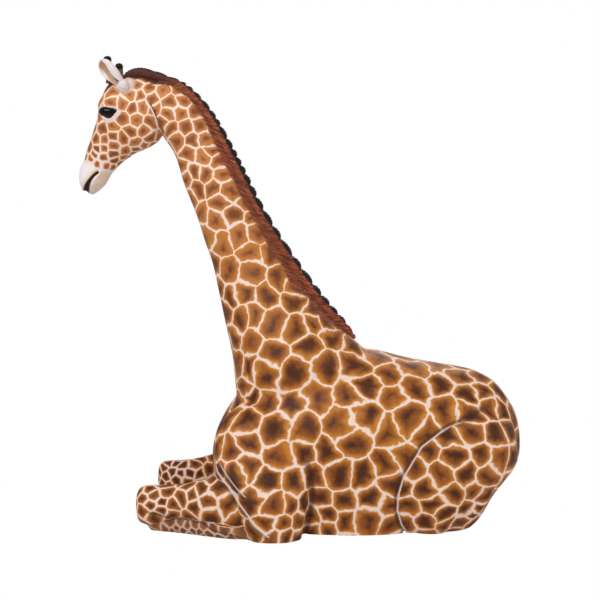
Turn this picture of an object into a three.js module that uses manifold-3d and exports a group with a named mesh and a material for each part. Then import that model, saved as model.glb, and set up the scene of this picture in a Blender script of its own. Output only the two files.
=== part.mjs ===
// A resting giraffe statue, cast in painted glass fibre, with its legs folded under it.
// The giraffe faces -X, its left flank faces -Y, Z is up, and it lies on Z = 0. Millimetres.

import * as THREE from 'three';
import { mergeVertices } from 'three/addons/utils/BufferGeometryUtils.js';
import Module from 'manifold-3d';

const wasm = await Module();
wasm.setup();

// Driving dimensions of the trunk
const torsoLength = 796;
const torsoHeight = 434;
const torsoWidth = 410;

// The neck leans forward from the withers and the head hangs from the poll
const neckReach = 498;
const neckRise = 682;
const neckRootWidth = 300;
const headReach = 229;
const headDrop = 296;
const headWidth = 124;
const headTurn = THREE.MathUtils.degToRad(-15);

// The folded hind leg shows as the haunch and the hock behind it
const haunchLength = 300;
const haunchHeight = 292;
const haunchOverhang = 13;
const haunchSpread = torsoWidth / 2 + haunchOverhang;
const hockThickness = 62;

// The folded foreleg: upper arm down to the elbow, forearm forward, cannon folded back below it
const upperArmLength = 260;
const upperArmHeight = 300;
const elbowOverhang = 44;
const elbowSpread = torsoWidth / 2 + elbowOverhang;
const forearmLength = 330;
const forearmHeight = 134;
const forearmThickness = 88;
const cannonLength = 270;
const cannonHeight = 54;
const cannonThickness = 64;
const kneeSpread = 141;

// The crest of the mane
const maneHeight = 21;
const maneThickness = 40;
const maneTufts = 23;

// Ears, horns and eyes
const earLength = 90;
const earWidth = 50;
const earThickness = 27;
const earWall = 4;
const hornLength = 69;
const hornBaseRadius = 12.1;
const hornSpacing = 62;
const eyeLength = 51;
const eyeHeight = 30;
const eyeDepth = 30;

// The tail lies along the right haunch
const tailThickness = 24;
const tuftThickness = 46;

// The casting, the panel that closes it and the steel inside
const wall = 6;
const panelThickness = 10;
const ventRadius = 14;
const collarLength = 90;
const postRadius = 17;
const footPlateLength = 200;
const footPlateWidth = 120;
const footPlateThickness = 8;
const boltRadius = 5;
const boltInset = 20;
const boltGrip = 9;
const boltHeadRadius = 9;
const boltHeadHeight = 6;
const fitGap = 0.3;
const cutOverrun = 60;

// Rings round the forms, and steps between the rows of their tables
const trunkSides = 24;
const liningSides = 12;
const headSides = 18;
const haunchSides = 16;
const limbSides = 13;
const fineSides = 12;
const tubeSides = 8;

const coat = { color: 0x8a5530, roughness: 0.42, metalness: 0 };
const looks = {
  coat,
  mane: { color: 0x6e3a22, roughness: 0.5, metalness: 0 },
  ear: { color: 0xe0cfcc, roughness: 0.5, metalness: 0 },
  horn: { color: 0x3a2418, roughness: 0.45, metalness: 0 },
  eye: { color: 0x0d0b0b, roughness: 0.08, metalness: 0 },
  tuft: { color: 0x2b1c16, roughness: 0.55, metalness: 0 },
  panel: { color: 0x6b5b4a, roughness: 0.7, metalness: 0 },
  steel: { color: 0x8d9196, roughness: 0.4, metalness: 0.9 },
};

// The trunk starts at X = 0, at the breast, and carries the neck at the withers
const withersShare = 0.457;
const withers = new THREE.Vector3(withersShare * torsoLength, 0, torsoHeight);

// Trunk, from the breast to the rump. Shares of its length, then of its height (back, widest line
// and keel, which lies below the ground where the belly rests), then of its half width.
const torsoShares = [
  [0.004, 0.43, 0.35, 0.27, 0.17],
  [0.02, 0.53, 0.34, 0.14, 0.41],
  [0.055, 0.65, 0.34, -0.02, 0.58],
  [0.105, 0.76, 0.36, -0.12, 0.71],
  [0.186, 0.87, 0.38, -0.22, 0.83],
  [0.3, 0.95, 0.39, -0.34, 0.92],
  [0.43, 0.99, 0.39, -0.37, 0.97],
  [0.53, 0.98, 0.4, -0.25, 0.99],
  [0.63, 0.935, 0.41, -0.12, 0.99],
  [0.74, 0.9, 0.42, -0.12, 0.975],
  [0.825, 0.872, 0.43, -0.02, 0.92],
  [0.872, 0.842, 0.44, 0.12, 0.85],
  [0.916, 0.79, 0.45, 0.215, 0.74],
  [0.954, 0.7, 0.46, 0.28, 0.55],
  [0.975, 0.63, 0.46, 0.34, 0.37],
  [0.985, 0.55, 0.46, 0.4, 0.17],
];
const torsoPowers = [2, 2.8];
const roundPowers = [2, 2];
const limbPowers = [2.2, 2.2];
const armPowers = [2.6, 2.6];
const manePowers = [1.7, 2];

// Neck, from inside the trunk to inside the head. Shares of its reach and rise for the throat
// line, then for the nape line, both from the withers, then of half the width at its root.
const neckShares = [
  [0.6, -0.25, -0.13, -0.07, 0.93],
  [0.612, -0.13, -0.045, 0.0, 0.97],
  [0.63, -0.02, 0.048, 0.062, 0.86],
  [0.655, 0.061, 0.13, 0.122, 0.73],
  [0.68, 0.145, 0.214, 0.197, 0.61],
  [0.704, 0.229, 0.292, 0.274, 0.515],
  [0.73, 0.313, 0.368, 0.36, 0.445],
  [0.768, 0.393, 0.441, 0.446, 0.4],
  [0.804, 0.477, 0.507, 0.524, 0.365],
  [0.846, 0.557, 0.561, 0.606, 0.34],
  [0.883, 0.625, 0.608, 0.675, 0.32],
  [0.909, 0.69, 0.655, 0.74, 0.305],
  [0.937, 0.743, 0.72, 0.827, 0.3],
  [0.977, 0.785, 0.794, 0.915, 0.3],
  [1.018, 0.831, 0.9, 0.995, 0.28],
  [1.05, 0.865, 1.0, 1.018, 0.24],
];
const neckPowers = [2.1, 2.1];

// Head, from the poll to the lips. Shares of its reach and drop for the face line, then for the
// jaw line, then of its half width.
const headShares = [
  [-0.12, 0.07, -0.13, 0.36, 0.5],
  [0.06, 0.035, -0.045, 0.43, 0.62],
  [0.2, -0.005, 0.025, 0.552, 0.78],
  [0.39, -0.015, 0.131, 0.605, 0.92],
  [0.535, 0.01, 0.237, 0.636, 1],
  [0.612, 0.065, 0.331, 0.659, 1],
  [0.672, 0.156, 0.412, 0.691, 0.97],
  [0.712, 0.24, 0.488, 0.729, 0.86],
  [0.738, 0.325, 0.55, 0.77, 0.76],
  [0.807, 0.467, 0.605, 0.81, 0.66],
  [0.875, 0.589, 0.64, 0.843, 0.6],
  [0.924, 0.696, 0.672, 0.877, 0.57],
  [0.985, 0.793, 0.705, 0.921, 0.57],
  [0.992, 0.9, 0.78, 0.97, 0.5],
  [0.955, 0.985, 0.86, 1.012, 0.26],
];
const headPowers = [2.3, 2.3];
const pollShares = [1.008, 1.029];

// Middles of the eyes and roots of the horns and ears, from the poll: shares of the head's reach,
// width and drop. The ears stand forward and outward by an angle each and turn on their roots.
const eyeShares = [0.515, 0.43, 0.335];
const eyePitch = THREE.MathUtils.degToRad(8);
const eyeToe = THREE.MathUtils.degToRad(14);
const hornRootShares = [0.545, 0.05];
const hornLean = THREE.MathUtils.degToRad(-8);
const earRootShares = [0.33, 0.4, 0.13];
const earTilt = { left: [-38, 22], right: [-30, 42] };
const earRoll = THREE.MathUtils.degToRad(58);

// Haunch: shares of its length, of its height (top and bottom) and of its spread. It ends at a
// share of the trunk's length.
const haunchEndShare = 0.947;
const haunchShares = [
  [0.0, 0.34, 0.14, 0.72],
  [0.02, 0.5, 0.05, 0.8],
  [0.08, 0.67, -0.01, 0.88],
  [0.2, 0.82, -0.045, 0.95],
  [0.34, 0.91, -0.035, 0.99],
  [0.48, 0.965, 0.05, 1],
  [0.6, 0.99, 0.16, 0.985],
  [0.72, 0.985, 0.27, 0.945],
  [0.84, 0.93, 0.37, 0.87],
  [0.94, 0.84, 0.45, 0.76],
  [1, 0.74, 0.52, 0.62],
];

// Hock: a stub that rises to the rear, under the rump. Its two ends are shares of the haunch's
// length, spread and height, and its rows are shares of the way between them and of its thickness.
const hockStartShares = [0.483, 0.725, 0.117];
const hockEndShares = [0.748, 0.725, 0.422];
const hockShares = [
  [0, 0.3],
  [0.1, 0.72],
  [0.35, 1],
  [0.7, 0.96],
  [0.92, 0.66],
  [1, 0.28],
];

// Upper arm: shares of its height, of its length (front and rear edge) and of the elbow's spread.
const upperArmShares = [
  [-0.1, 0.372, 0.892, 0.94],
  [0.0, 0.362, 0.902, 0.985],
  [0.1, 0.332, 0.932, 1],
  [0.22, 0.252, 0.957, 0.985],
  [0.36, 0.162, 0.977, 0.93],
  [0.5, 0.092, 0.972, 0.86],
  [0.64, 0.082, 0.942, 0.79],
  [0.78, 0.112, 0.892, 0.73],
  [0.9, 0.182, 0.792, 0.64],
  [1, 0.312, 0.612, 0.5],
];

// Forearm from the knee back to the elbow: shares of its length, height (top and bottom),
// thickness, and of the way from the knee's spread to the elbow's. The knee reaches ahead of the
// breast by a share of the trunk's length.
const kneeReachShare = 0.21;
const forearmShares = [
  [0.0, 0.63, 0.36, 0.24, 0.0],
  [0.015, 0.72, 0.2, 0.56, 0.0],
  [0.045, 0.78, 0.13, 0.78, 0.0],
  [0.12, 0.8, 0.1, 0.9, 0.0],
  [0.2, 0.8, 0.16, 0.9, 0.02],
  [0.32, 0.83, 0.22, 0.88, 0.08],
  [0.46, 0.91, 0.19, 0.9, 0.18],
  [0.62, 1.01, 0.09, 0.96, 0.3],
  [0.8, 1.07, 0.03, 1, 0.4],
  [1, 0.95, 0.12, 0.84, 0.45],
];

// Cannon folded below the forearm, with the same five columns. It starts a share of the forearm's
// length behind the knee.
const fetlockShare = 0.07;
const cannonShares = [
  [0.0, 0.72, 0.3, 0.4, -0.08],
  [0.04, 0.95, -0.02, 0.8, -0.08],
  [0.14, 1.1, -0.14, 1, -0.08],
  [0.3, 1.12, -0.18, 1, 0.02],
  [0.5, 1, -0.2, 1.02, 0.19],
  [0.75, 0.85, -0.2, 1.05, 0.4],
  [1, 0.7, -0.1, 0.9, 0.56],
];

// Crest of the mane along the nape, from the withers to the forehead: shares of the neck's reach
// and rise from the withers, then of the mane's height and thickness.
const maneShares = [
  [-0.01, 0.03, 0.2, 0.4],
  [0.055, 0.077, 0.7, 0.75],
  [0.13, 0.13, 0.95, 0.95],
  [0.214, 0.203, 1, 1],
  [0.368, 0.36, 1, 1],
  [0.507, 0.524, 1, 0.95],
  [0.608, 0.675, 0.95, 0.9],
  [0.72, 0.834, 0.85, 0.9],
  [0.8, 0.919, 0.8, 0.9],
  [0.89, 0.982, 0.75, 0.9],
  [1.0, 1.024, 0.75, 0.95],
  [1.1, 1.044, 0.75, 0.9],
  [1.17, 1.034, 0.6, 0.7],
  [1.2, 1.01, 0.25, 0.4],
];
const tuftDropShare = 0.34;
const tuftNarrowShare = 0.12;
const maneRootShare = 1.55;
const stepsPerTuft = 3;

// Ear from its root to its tip: shares of its length, width and thickness. The bowl starts at a
// share of the length and stops short of the tip.
const bowlStartShare = 0.2;
const bowlRiseShare = 0.03;
const earShares = [
  [0, 0.42, 0.62],
  [0.1, 0.56, 0.8],
  [0.22, 0.62, 0.84],
  [0.36, 0.78, 0.86],
  [0.54, 0.98, 0.92],
  [0.7, 1, 0.84],
  [0.84, 0.84, 0.6],
  [0.94, 0.54, 0.36],
  [1, 0.2, 0.16],
];

// Horn outline: shares of its length and of the radius at its root.
const hornShares = [
  [0, 0],
  [0, 1],
  [0.2, 0.82],
  [0.5, 0.72],
  [0.74, 0.76],
  [0.84, 0.86],
  [0.93, 0.84],
  [0.985, 0.52],
  [1, 0],
];

// The foot plate and the vent lie at shares of the trunk's length, and the post stands upright to a
// share of its height before it leans into the neck.
const footShare = 0.24;
const ventShare = 0.6;
const postBendShare = 0.45;

// Tail along the right haunch: shares of the trunk's length, height and half width.
const tailPathShares = [
  [0.94, 0.68, 0.14],
  [0.962, 0.57, 0.42],
  [0.93, 0.45, 0.78],
  [0.87, 0.33, 0.99],
  [0.82, 0.22, 1.03],
];
const tuftPathShares = [
  [0.825, 0.23, 1.03],
  [0.78, 0.14, 1.0],
  [0.72, 0.07, 0.95],
];
const tailTaperShare = 0.35;
const tuftEndShare = 0.35;

// Values between the rows of a table, on a smooth curve through them.
function blendRows(rows, steps) {
  const pick = (index) => rows[THREE.MathUtils.clamp(index, 0, rows.length - 1)];
  const result = [];
  for (let i = 0; i < rows.length - 1; i++) {
    for (let s = 0; s < steps; s++) {
      const t = s / steps;
      result.push(rows[i].map((value, c) => {
        const before = pick(i - 1)[c];
        const next = pick(i + 1)[c];
        const after = pick(i + 2)[c];
        const slopeHere = (next - before) / 2;
        const slopeNext = (after - value) / 2;
        const bend = 3 * (next - value) - 2 * slopeHere - slopeNext;
        const turn = 2 * (value - next) + slopeHere + slopeNext;
        return value + t * (slopeHere + t * (bend + t * turn));
      }));
    }
  }
  result.push(rows[rows.length - 1]);
  return result;
}

// One closed ring: a superellipse round a centre, with its own power above and below.
function ring(centre, up, side, above, below, half, powers, sides) {
  const points = [];
  for (let i = 0; i < sides; i++) {
    const angle = (2 * Math.PI * i) / sides;
    const c = Math.cos(angle);
    const s = Math.sin(angle);
    const power = s > 0 ? powers[0] : powers[1];
    const across = Math.sign(c) * Math.abs(c) ** (2 / power) * half;
    const along = Math.sign(s) * Math.abs(s) ** (2 / power) * (s > 0 ? above : below);
    points.push(centre.clone().addScaledVector(side, across).addScaledVector(up, along));
  }
  return points;
}

// A closed skin through rings with the same number of points, fanned shut at both ends.
function loft(rings) {
  const sides = rings[0].length;
  const middle = (points) => points.reduce((sum, p) => sum.add(p), new THREE.Vector3())
    .divideScalar(points.length);
  const vertices = [middle(rings[0]), ...rings.flat(), middle(rings[rings.length - 1])];
  const last = vertices.length - 1;
  const at = (row, i) => 1 + row * sides + (i % sides);
  const faces = [];
  for (let i = 0; i < sides; i++) {
    faces.push(0, at(0, i + 1), at(0, i));
    faces.push(last, at(rings.length - 1, i), at(rings.length - 1, i + 1));
    for (let row = 0; row < rings.length - 1; row++) {
      faces.push(at(row, i), at(row, i + 1), at(row + 1, i + 1));
      faces.push(at(row, i), at(row + 1, i + 1), at(row + 1, i));
    }
  }
  const geometry = new THREE.BufferGeometry();
  const places = new THREE.Float32BufferAttribute(vertices.flatMap((p) => p.toArray()), 3);
  geometry.setAttribute('position', places);
  geometry.setIndex(faces);
  return facingOut(geometry);
}

function facingOut(geometry) {
  const p = geometry.attributes.position;
  const index = geometry.index;
  const [a, b, c] = [new THREE.Vector3(), new THREE.Vector3(), new THREE.Vector3()];
  let volume = 0;
  for (let i = 0; i < index.count; i += 3) {
    a.fromBufferAttribute(p, index.getX(i));
    b.fromBufferAttribute(p, index.getX(i + 1));
    c.fromBufferAttribute(p, index.getX(i + 2));
    volume += a.dot(b.cross(c));
  }
  if (volume < 0) {
    for (let i = 0; i < index.count; i += 3) {
      const first = index.getX(i);
      index.setX(i, index.getX(i + 1));
      index.setX(i + 1, first);
    }
  }
  return geometry;
}

// The same geometry with only its positions, and with the corners that faces share joined.
function welded(geometry) {
  const bare = geometry.clone();
  bare.deleteAttribute('normal');
  bare.deleteAttribute('uv');
  return mergeVertices(bare);
}

// The same skin moved outwards along its normals, or inwards with a negative distance.
function swell(geometry, distance) {
  const moved = welded(geometry);
  moved.computeVertexNormals();
  const p = moved.attributes.position;
  const n = moved.attributes.normal;
  for (let i = 0; i < p.count; i++) {
    p.setXYZ(
      i,
      p.getX(i) + n.getX(i) * distance,
      p.getY(i) + n.getY(i) * distance,
      p.getZ(i) + n.getZ(i) * distance,
    );
  }
  moved.deleteAttribute('normal');
  return moved;
}

function solidOf(geometry) {
  const merged = welded(geometry);
  return new wasm.Manifold(new wasm.Mesh({
    numProp: 3,
    vertProperties: new Float32Array(merged.attributes.position.array),
    triVerts: new Uint32Array(merged.index.array),
  }));
}

function geometryOf(solid) {
  const mesh = solid.getMesh();
  const geometry = new THREE.BufferGeometry();
  geometry.setAttribute('position', new THREE.BufferAttribute(mesh.vertProperties, 3));
  geometry.setIndex(new THREE.BufferAttribute(mesh.triVerts, 1));
  return geometry;
}

// Cuts can leave slivers beside a piece, so only its largest body is kept.
function mainBody(solid) {
  const bodies = solid.decompose();
  return bodies.reduce((best, body) => (body.volume() > best.volume() ? body : best));
}

function cutBy(solid, ...forms) {
  return mainBody(forms.reduce((rest, form) => rest.subtract(solidOf(swell(form, fitGap))), solid));
}

// A block that holds everything above the ground, to cut the castings flat
const groundBlock = new THREE.BoxGeometry(3 * torsoLength, 3 * torsoWidth, 4 * torsoHeight)
  .translate(0, 0, 2 * torsoHeight);
const aboveGround = solidOf(groundBlock);

const axisX = new THREE.Vector3(1, 0, 0);
const axisY = new THREE.Vector3(0, 1, 0);
const axisZ = new THREE.Vector3(0, 0, 1);

function torsoForm(steps, sides) {
  const rings = blendRows(torsoShares, steps).map(([along, back, widest, keel, width]) => ring(
    new THREE.Vector3(along * torsoLength, 0, widest * torsoHeight),
    axisZ,
    axisY,
    (back - widest) * torsoHeight,
    (widest - keel) * torsoHeight,
    (width * torsoWidth) / 2,
    torsoPowers,
    sides,
  ));
  return loft(rings);
}

// A ring between a front and a back point, both on the middle plane.
function ringBetween(front, back, half, powers, sides) {
  const centre = front.clone().add(back).multiplyScalar(0.5);
  const up = back.clone().sub(front);
  const reach = up.length() / 2;
  return ring(centre, up.normalize(), axisY, reach, reach, half, powers, sides);
}

function fromWithers(reach, rise) {
  return new THREE.Vector3(withers.x - reach * neckReach, 0, withers.z + rise * neckRise);
}

function neckForm(steps, sides) {
  const rows = blendRows(neckShares, steps);
  const rings = rows.map(([throatX, throatZ, napeX, napeZ, width]) => ringBetween(
    fromWithers(throatX, throatZ),
    fromWithers(napeX, napeZ),
    (width * neckRootWidth) / 2,
    neckPowers,
    sides,
  ));
  return loft(rings);
}

// Places a geometry of the head, whose own origin is the poll, with the head turned aside.
const poll = fromWithers(...pollShares);
function onHead(geometry) {
  return geometry.applyMatrix4(new THREE.Matrix4().makeRotationZ(headTurn))
    .translate(poll.x, poll.y, poll.z);
}

function headForm() {
  const point = (reach, drop) => new THREE.Vector3(-reach * headReach, 0, -drop * headDrop);
  const rings = blendRows(headShares, 2).map(([faceX, faceZ, jawX, jawZ, width]) => ringBetween(
    point(jawX, jawZ),
    point(faceX, faceZ),
    (width * headWidth) / 2,
    headPowers,
    headSides,
  ));
  return onHead(loft(rings));
}

// Rings across X between the body's inside and an outer side, for the folded legs.
const haunchFrontX = haunchEndShare * torsoLength - haunchLength;
const haunchInner = haunchSpread / 3;
function haunchForm(side) {
  const rings = blendRows(haunchShares, 2).map(([along, top, bottom, spread]) => {
    const outer = spread * haunchSpread;
    const middle = (top + bottom) / 2;
    const half = ((top - bottom) / 2) * haunchHeight;
    const centre = new THREE.Vector3(
      haunchFrontX + along * haunchLength,
      (side * (outer + haunchInner)) / 2,
      middle * haunchHeight,
    );
    return ring(centre, axisZ, axisY, half, half, (outer - haunchInner) / 2, limbPowers, haunchSides);
  });
  return loft(rings);
}

function hockForm(side) {
  const ends = [hockStartShares, hockEndShares];
  const [start, end] = ends.map(([along, spread, height]) => new THREE.Vector3(
    haunchFrontX + along * haunchLength,
    side * spread * haunchSpread,
    height * haunchHeight,
  ));
  const forward = end.clone().sub(start).normalize();
  const up = new THREE.Vector3(-forward.z, 0, forward.x);
  const rings = blendRows(hockShares, 2).map(([along, thickness]) => {
    const half = (thickness * hockThickness) / 2;
    return ring(start.clone().lerp(end, along), up, axisY, half, half, half, limbPowers, limbSides);
  });
  return loft(rings);
}

function upperArmForm(side) {
  const inner = elbowSpread / 3;
  const rings = blendRows(upperArmShares, 1).map(([rise, front, rear, spread]) => {
    const outer = spread * elbowSpread;
    const centre = new THREE.Vector3(
      ((front + rear) / 2) * upperArmLength,
      (side * (outer + inner)) / 2,
      rise * upperArmHeight,
    );
    const half = ((rear - front) / 2) * upperArmLength;
    return ring(centre, axisX, axisY, half, half, (outer - inner) / 2, armPowers, haunchSides);
  });
  return loft(rings);
}

// The forearm and the cannon share the way that they splay from the knee to the elbow.
function legForm(side, shares, startX, length, height, thickness) {
  const rings = blendRows(shares, 2).map(([along, top, bottom, thick, splay]) => {
    const centre = new THREE.Vector3(
      startX + along * length,
      side * THREE.MathUtils.lerp(kneeSpread, elbowSpread, splay),
      ((top + bottom) / 2) * height,
    );
    const half = ((top - bottom) / 2) * height;
    return ring(centre, axisZ, axisY, half, half, (thick * thickness) / 2, limbPowers, limbSides);
  });
  return loft(rings);
}

const kneeX = -kneeReachShare * torsoLength;
const forearmForm = (side) => legForm(
  side, forearmShares, kneeX, forearmLength, forearmHeight, forearmThickness,
);
const cannonForm = (side) => legForm(
  side, cannonShares, kneeX + fetlockShare * forearmLength, cannonLength, cannonHeight, cannonThickness,
);

// The crest swells along each tuft and drops at its end, like locks that overlap.
function maneForm() {
  const rows = blendRows(maneShares, 12);
  const path = new THREE.CatmullRomCurve3(rows.map(([reach, rise]) => fromWithers(reach, rise)));
  const steps = maneTufts * stepsPerTuft;
  const rings = [];
  for (let i = 0; i <= steps; i++) {
    const t = i / steps;
    const row = rows[Math.round(path.getUtoTmapping(t) * (rows.length - 1))];
    const lock = (stepsPerTuft - (i % stepsPerTuft)) / stepsPerTuft;
    const drop = 1 - tuftDropShare * lock ** 2;
    const tangent = path.getTangentAt(t);
    const up = new THREE.Vector3(-tangent.z, 0, tangent.x).normalize();
    if (up.z < 0) {
      up.negate();
    }
    const half = (row[3] * maneThickness) / 2;
    rings.push(ring(
      path.getPointAt(t),
      up,
      axisY,
      row[2] * maneHeight * drop,
      row[2] * maneHeight * maneRootShare,
      half * (1 - tuftNarrowShare * (1 - drop)),
      manePowers,
      tubeSides,
    ));
  }
  return loft(rings);
}

function earForm(scaleWidth, startShare) {
  const rows = earShares.filter(([along]) => along >= startShare);
  return loft(rows.map(([along, width, thickness]) => ring(
    new THREE.Vector3(0, 0, along * earLength),
    axisX,
    axisY,
    ((thickness * earThickness) / 2) * scaleWidth,
    ((thickness * earThickness) / 2) * scaleWidth,
    ((width * earWidth) / 2) * scaleWidth,
    roundPowers,
    limbSides,
  )));
}

// The ear is a leaf with a bowl sunk in its front.
function earSolid() {
  const leaf = solidOf(earForm(1, 0));
  const bowlScale = 1 - (2 * earWall) / earWidth;
  const bowl = earForm(bowlScale, bowlStartShare)
    .scale(1, 1, 1 - 2 * bowlRiseShare)
    .translate(-earThickness / 4, 0, bowlRiseShare * earLength);
  return mainBody(leaf.subtract(solidOf(bowl)));
}

function hornForm() {
  const outline = hornShares.map(([along, radius]) => new THREE.Vector2(
    radius * hornBaseRadius,
    along * hornLength,
  ));
  return new THREE.LatheGeometry(outline, fineSides + 4).rotateX(Math.PI / 2);
}

function tubeAlong(points, radiusAt, sides, steps) {
  const path = new THREE.CatmullRomCurve3(points);
  const frames = path.computeFrenetFrames(steps, false);
  const rings = [];
  for (let i = 0; i <= steps; i++) {
    const radius = radiusAt(i / steps);
    rings.push(ring(
      path.getPointAt(i / steps),
      frames.normals[i],
      frames.binormals[i],
      radius,
      radius,
      radius,
      roundPowers,
      sides,
    ));
  }
  return loft(rings);
}

function onTrunk([along, height, width]) {
  return new THREE.Vector3(
    along * torsoLength,
    (width * torsoWidth) / 2,
    height * torsoHeight,
  );
}

const giraffe = new THREE.Group();
function addPiece(name, solid, look) {
  const mesh = new THREE.Mesh(geometryOf(solid), new THREE.MeshStandardMaterial(looks[look]));
  mesh.name = name;
  giraffe.add(mesh);
  return mesh;
}

const torso = torsoForm(2, trunkSides);
const neck = neckForm(2, headSides);
const head = headForm();
const torsoLining = torsoForm(1, liningSides);
const neckLining = neckForm(1, liningSides);
const torsoInside = swell(torsoLining, -wall);
const neckInside = swell(neckLining, -wall);

addPiece('torso_shell', mainBody(
  solidOf(torso).intersect(aboveGround).subtract(solidOf(torsoInside)).subtract(solidOf(neckInside)),
), 'coat');
addPiece('neck_shell', cutBy(solidOf(neck).subtract(solidOf(neckInside)), torso), 'coat');

// Eyes, set into the sides of the head
const eyes = {};
for (const [side, sign] of [['left', -1], ['right', 1]]) {
  const eye = new THREE.SphereGeometry(1, fineSides, tubeSides)
    .scale(eyeLength / 2, eyeDepth / 2, eyeHeight / 2)
    .rotateY(eyePitch)
    .rotateZ(-sign * eyeToe);
  eye.translate(-eyeShares[0] * headReach, sign * eyeShares[1] * headWidth, -eyeShares[2] * headDrop);
  eyes[side] = onHead(eye);
  addPiece(`eye_${side}`, solidOf(eyes[side]), 'eye');
}
addPiece('head_shell', cutBy(solidOf(head), neck, eyes.left, eyes.right), 'coat');

const mane = maneForm();
addPiece('mane_crest', cutBy(solidOf(mane), neck, torso, head), 'mane');

// Horns and ears stand on the head
for (const [side, sign] of [['left', -1], ['right', 1]]) {
  const horn = hornForm().rotateY(hornLean);
  horn.translate(-hornRootShares[0] * headReach, (sign * hornSpacing) / 2, -hornRootShares[1] * headDrop);
  addPiece(`horn_${side}`, cutBy(solidOf(onHead(horn)), head, mane), 'horn');

  const [forward, outward] = earTilt[side].map(THREE.MathUtils.degToRad);
  const place = new THREE.Matrix4().makeRotationZ(headTurn).setPosition(poll);
  place.multiply(new THREE.Matrix4().makeTranslation(
    -earRootShares[0] * headReach,
    sign * earRootShares[1] * headWidth,
    -earRootShares[2] * headDrop,
  ));
  place.multiply(new THREE.Matrix4().makeRotationX(-sign * outward));
  place.multiply(new THREE.Matrix4().makeRotationY(forward));
  place.multiply(new THREE.Matrix4().makeRotationZ(-sign * earRoll));
  const ear = geometryOf(earSolid()).applyMatrix4(place);
  addPiece(`ear_${side}`, cutBy(solidOf(ear), head, mane, onHead(hornForm())), 'ear');
}

// Folded legs, each cut by the larger pieces that it lies against
for (const [side, sign] of [['left', -1], ['right', 1]]) {
  const haunch = haunchForm(sign);
  addPiece(`haunch_${side}`, cutBy(solidOf(haunch).intersect(aboveGround), torso), 'coat');
  addPiece(`hock_${side}`, cutBy(solidOf(hockForm(sign)).intersect(aboveGround), torso, haunch), 'coat');
  const upperArm = upperArmForm(sign);
  addPiece(`upper_arm_${side}`, cutBy(solidOf(upperArm).intersect(aboveGround), torso, neck), 'coat');
  const forearm = forearmForm(sign);
  addPiece(`forearm_${side}`, cutBy(solidOf(forearm).intersect(aboveGround), torso, upperArm), 'coat');
  addPiece(
    `cannon_${side}`,
    cutBy(solidOf(cannonForm(sign)).intersect(aboveGround), torso, upperArm, forearm),
    'coat',
  );
}

// The panel that closes the underside, flush with the rim of the casting, with a vent
const panelSlab = new THREE.BoxGeometry(2 * torsoLength, 2 * torsoWidth, panelThickness)
  .translate(0, 0, panelThickness / 2);
const footX = footShare * torsoLength;
const ventX = ventShare * torsoLength;
const holeAt = (radius, x, y) => solidOf(
  new THREE.CylinderGeometry(radius, radius, 2 * cutOverrun, fineSides)
    .rotateX(Math.PI / 2)
    .translate(x, y, 0),
);
const boltPlaces = [-1, 1].flatMap((along) => [-1, 1].map((across) => [
  footX + (along * (footPlateLength - 2 * boltInset)) / 2,
  (across * (footPlateWidth - 2 * boltInset)) / 2,
]));
const drilled = (solid) => boltPlaces.reduce(
  (rest, [x, y]) => rest.subtract(holeAt(boltRadius + fitGap, x, y)),
  solid,
);
const panel = solidOf(swell(torsoLining, -wall - fitGap)).intersect(solidOf(panelSlab));
addPiece('base_panel', mainBody(drilled(panel).subtract(holeAt(ventRadius, ventX, 0))), 'panel');

// A steel foot plate is bolted to the panel and carries the post that stiffens the neck
const plateTop = panelThickness + fitGap + footPlateThickness;
const footPlate = new THREE.BoxGeometry(footPlateLength, footPlateWidth, footPlateThickness)
  .translate(footX, 0, plateTop - footPlateThickness / 2);
addPiece('foot_plate', drilled(solidOf(footPlate)), 'steel');

const boltFoot = panelThickness - boltGrip;
const boltOutline = [
  [0, boltFoot],
  [boltRadius, boltFoot],
  [boltRadius, plateTop + fitGap],
  [boltHeadRadius, plateTop + fitGap],
  [boltHeadRadius, plateTop + fitGap + boltHeadHeight],
  [0, plateTop + fitGap + boltHeadHeight],
].map(([radius, height]) => new THREE.Vector2(radius, height));
const bolt = new THREE.LatheGeometry(boltOutline, tubeSides).rotateX(Math.PI / 2);
for (const [i, [x, y]] of boltPlaces.entries()) {
  addPiece(`foot_bolt_${i + 1}`, solidOf(bolt.clone().translate(x, y, 0)), 'steel');
}

const middleOf = ([throatX, throatZ, napeX, napeZ]) => fromWithers(throatX, throatZ)
  .add(fromWithers(napeX, napeZ))
  .multiplyScalar(0.5);
const postRoute = [
  new THREE.Vector3(footX, 0, plateTop - footPlateThickness / 2),
  new THREE.Vector3(footX, 0, postBendShare * torsoHeight),
  ...neckShares.slice(1, -2).map(middleOf),
];
const post = tubeAlong(postRoute, () => postRadius, tubeSides, 16);
addPiece('neck_post', cutBy(solidOf(post), footPlate), 'steel');

// A collar bonded inside the joint between the neck and the trunk
const collarBlock = new THREE.BoxGeometry(2 * neckReach, neckReach, collarLength);
const collarMiddle = middleOf(neckShares[1]);
const collarAxis = middleOf(neckShares[2]).sub(middleOf(neckShares[0])).normalize();
collarBlock.applyQuaternion(new THREE.Quaternion().setFromUnitVectors(axisZ, collarAxis));
collarBlock.translate(collarMiddle.x, collarMiddle.y, collarMiddle.z);
const collar = solidOf(swell(neckLining, -wall - fitGap))
  .subtract(solidOf(swell(neckLining, -2 * wall)))
  .intersect(solidOf(collarBlock));
addPiece('neck_collar', mainBody(collar), 'panel');

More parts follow.
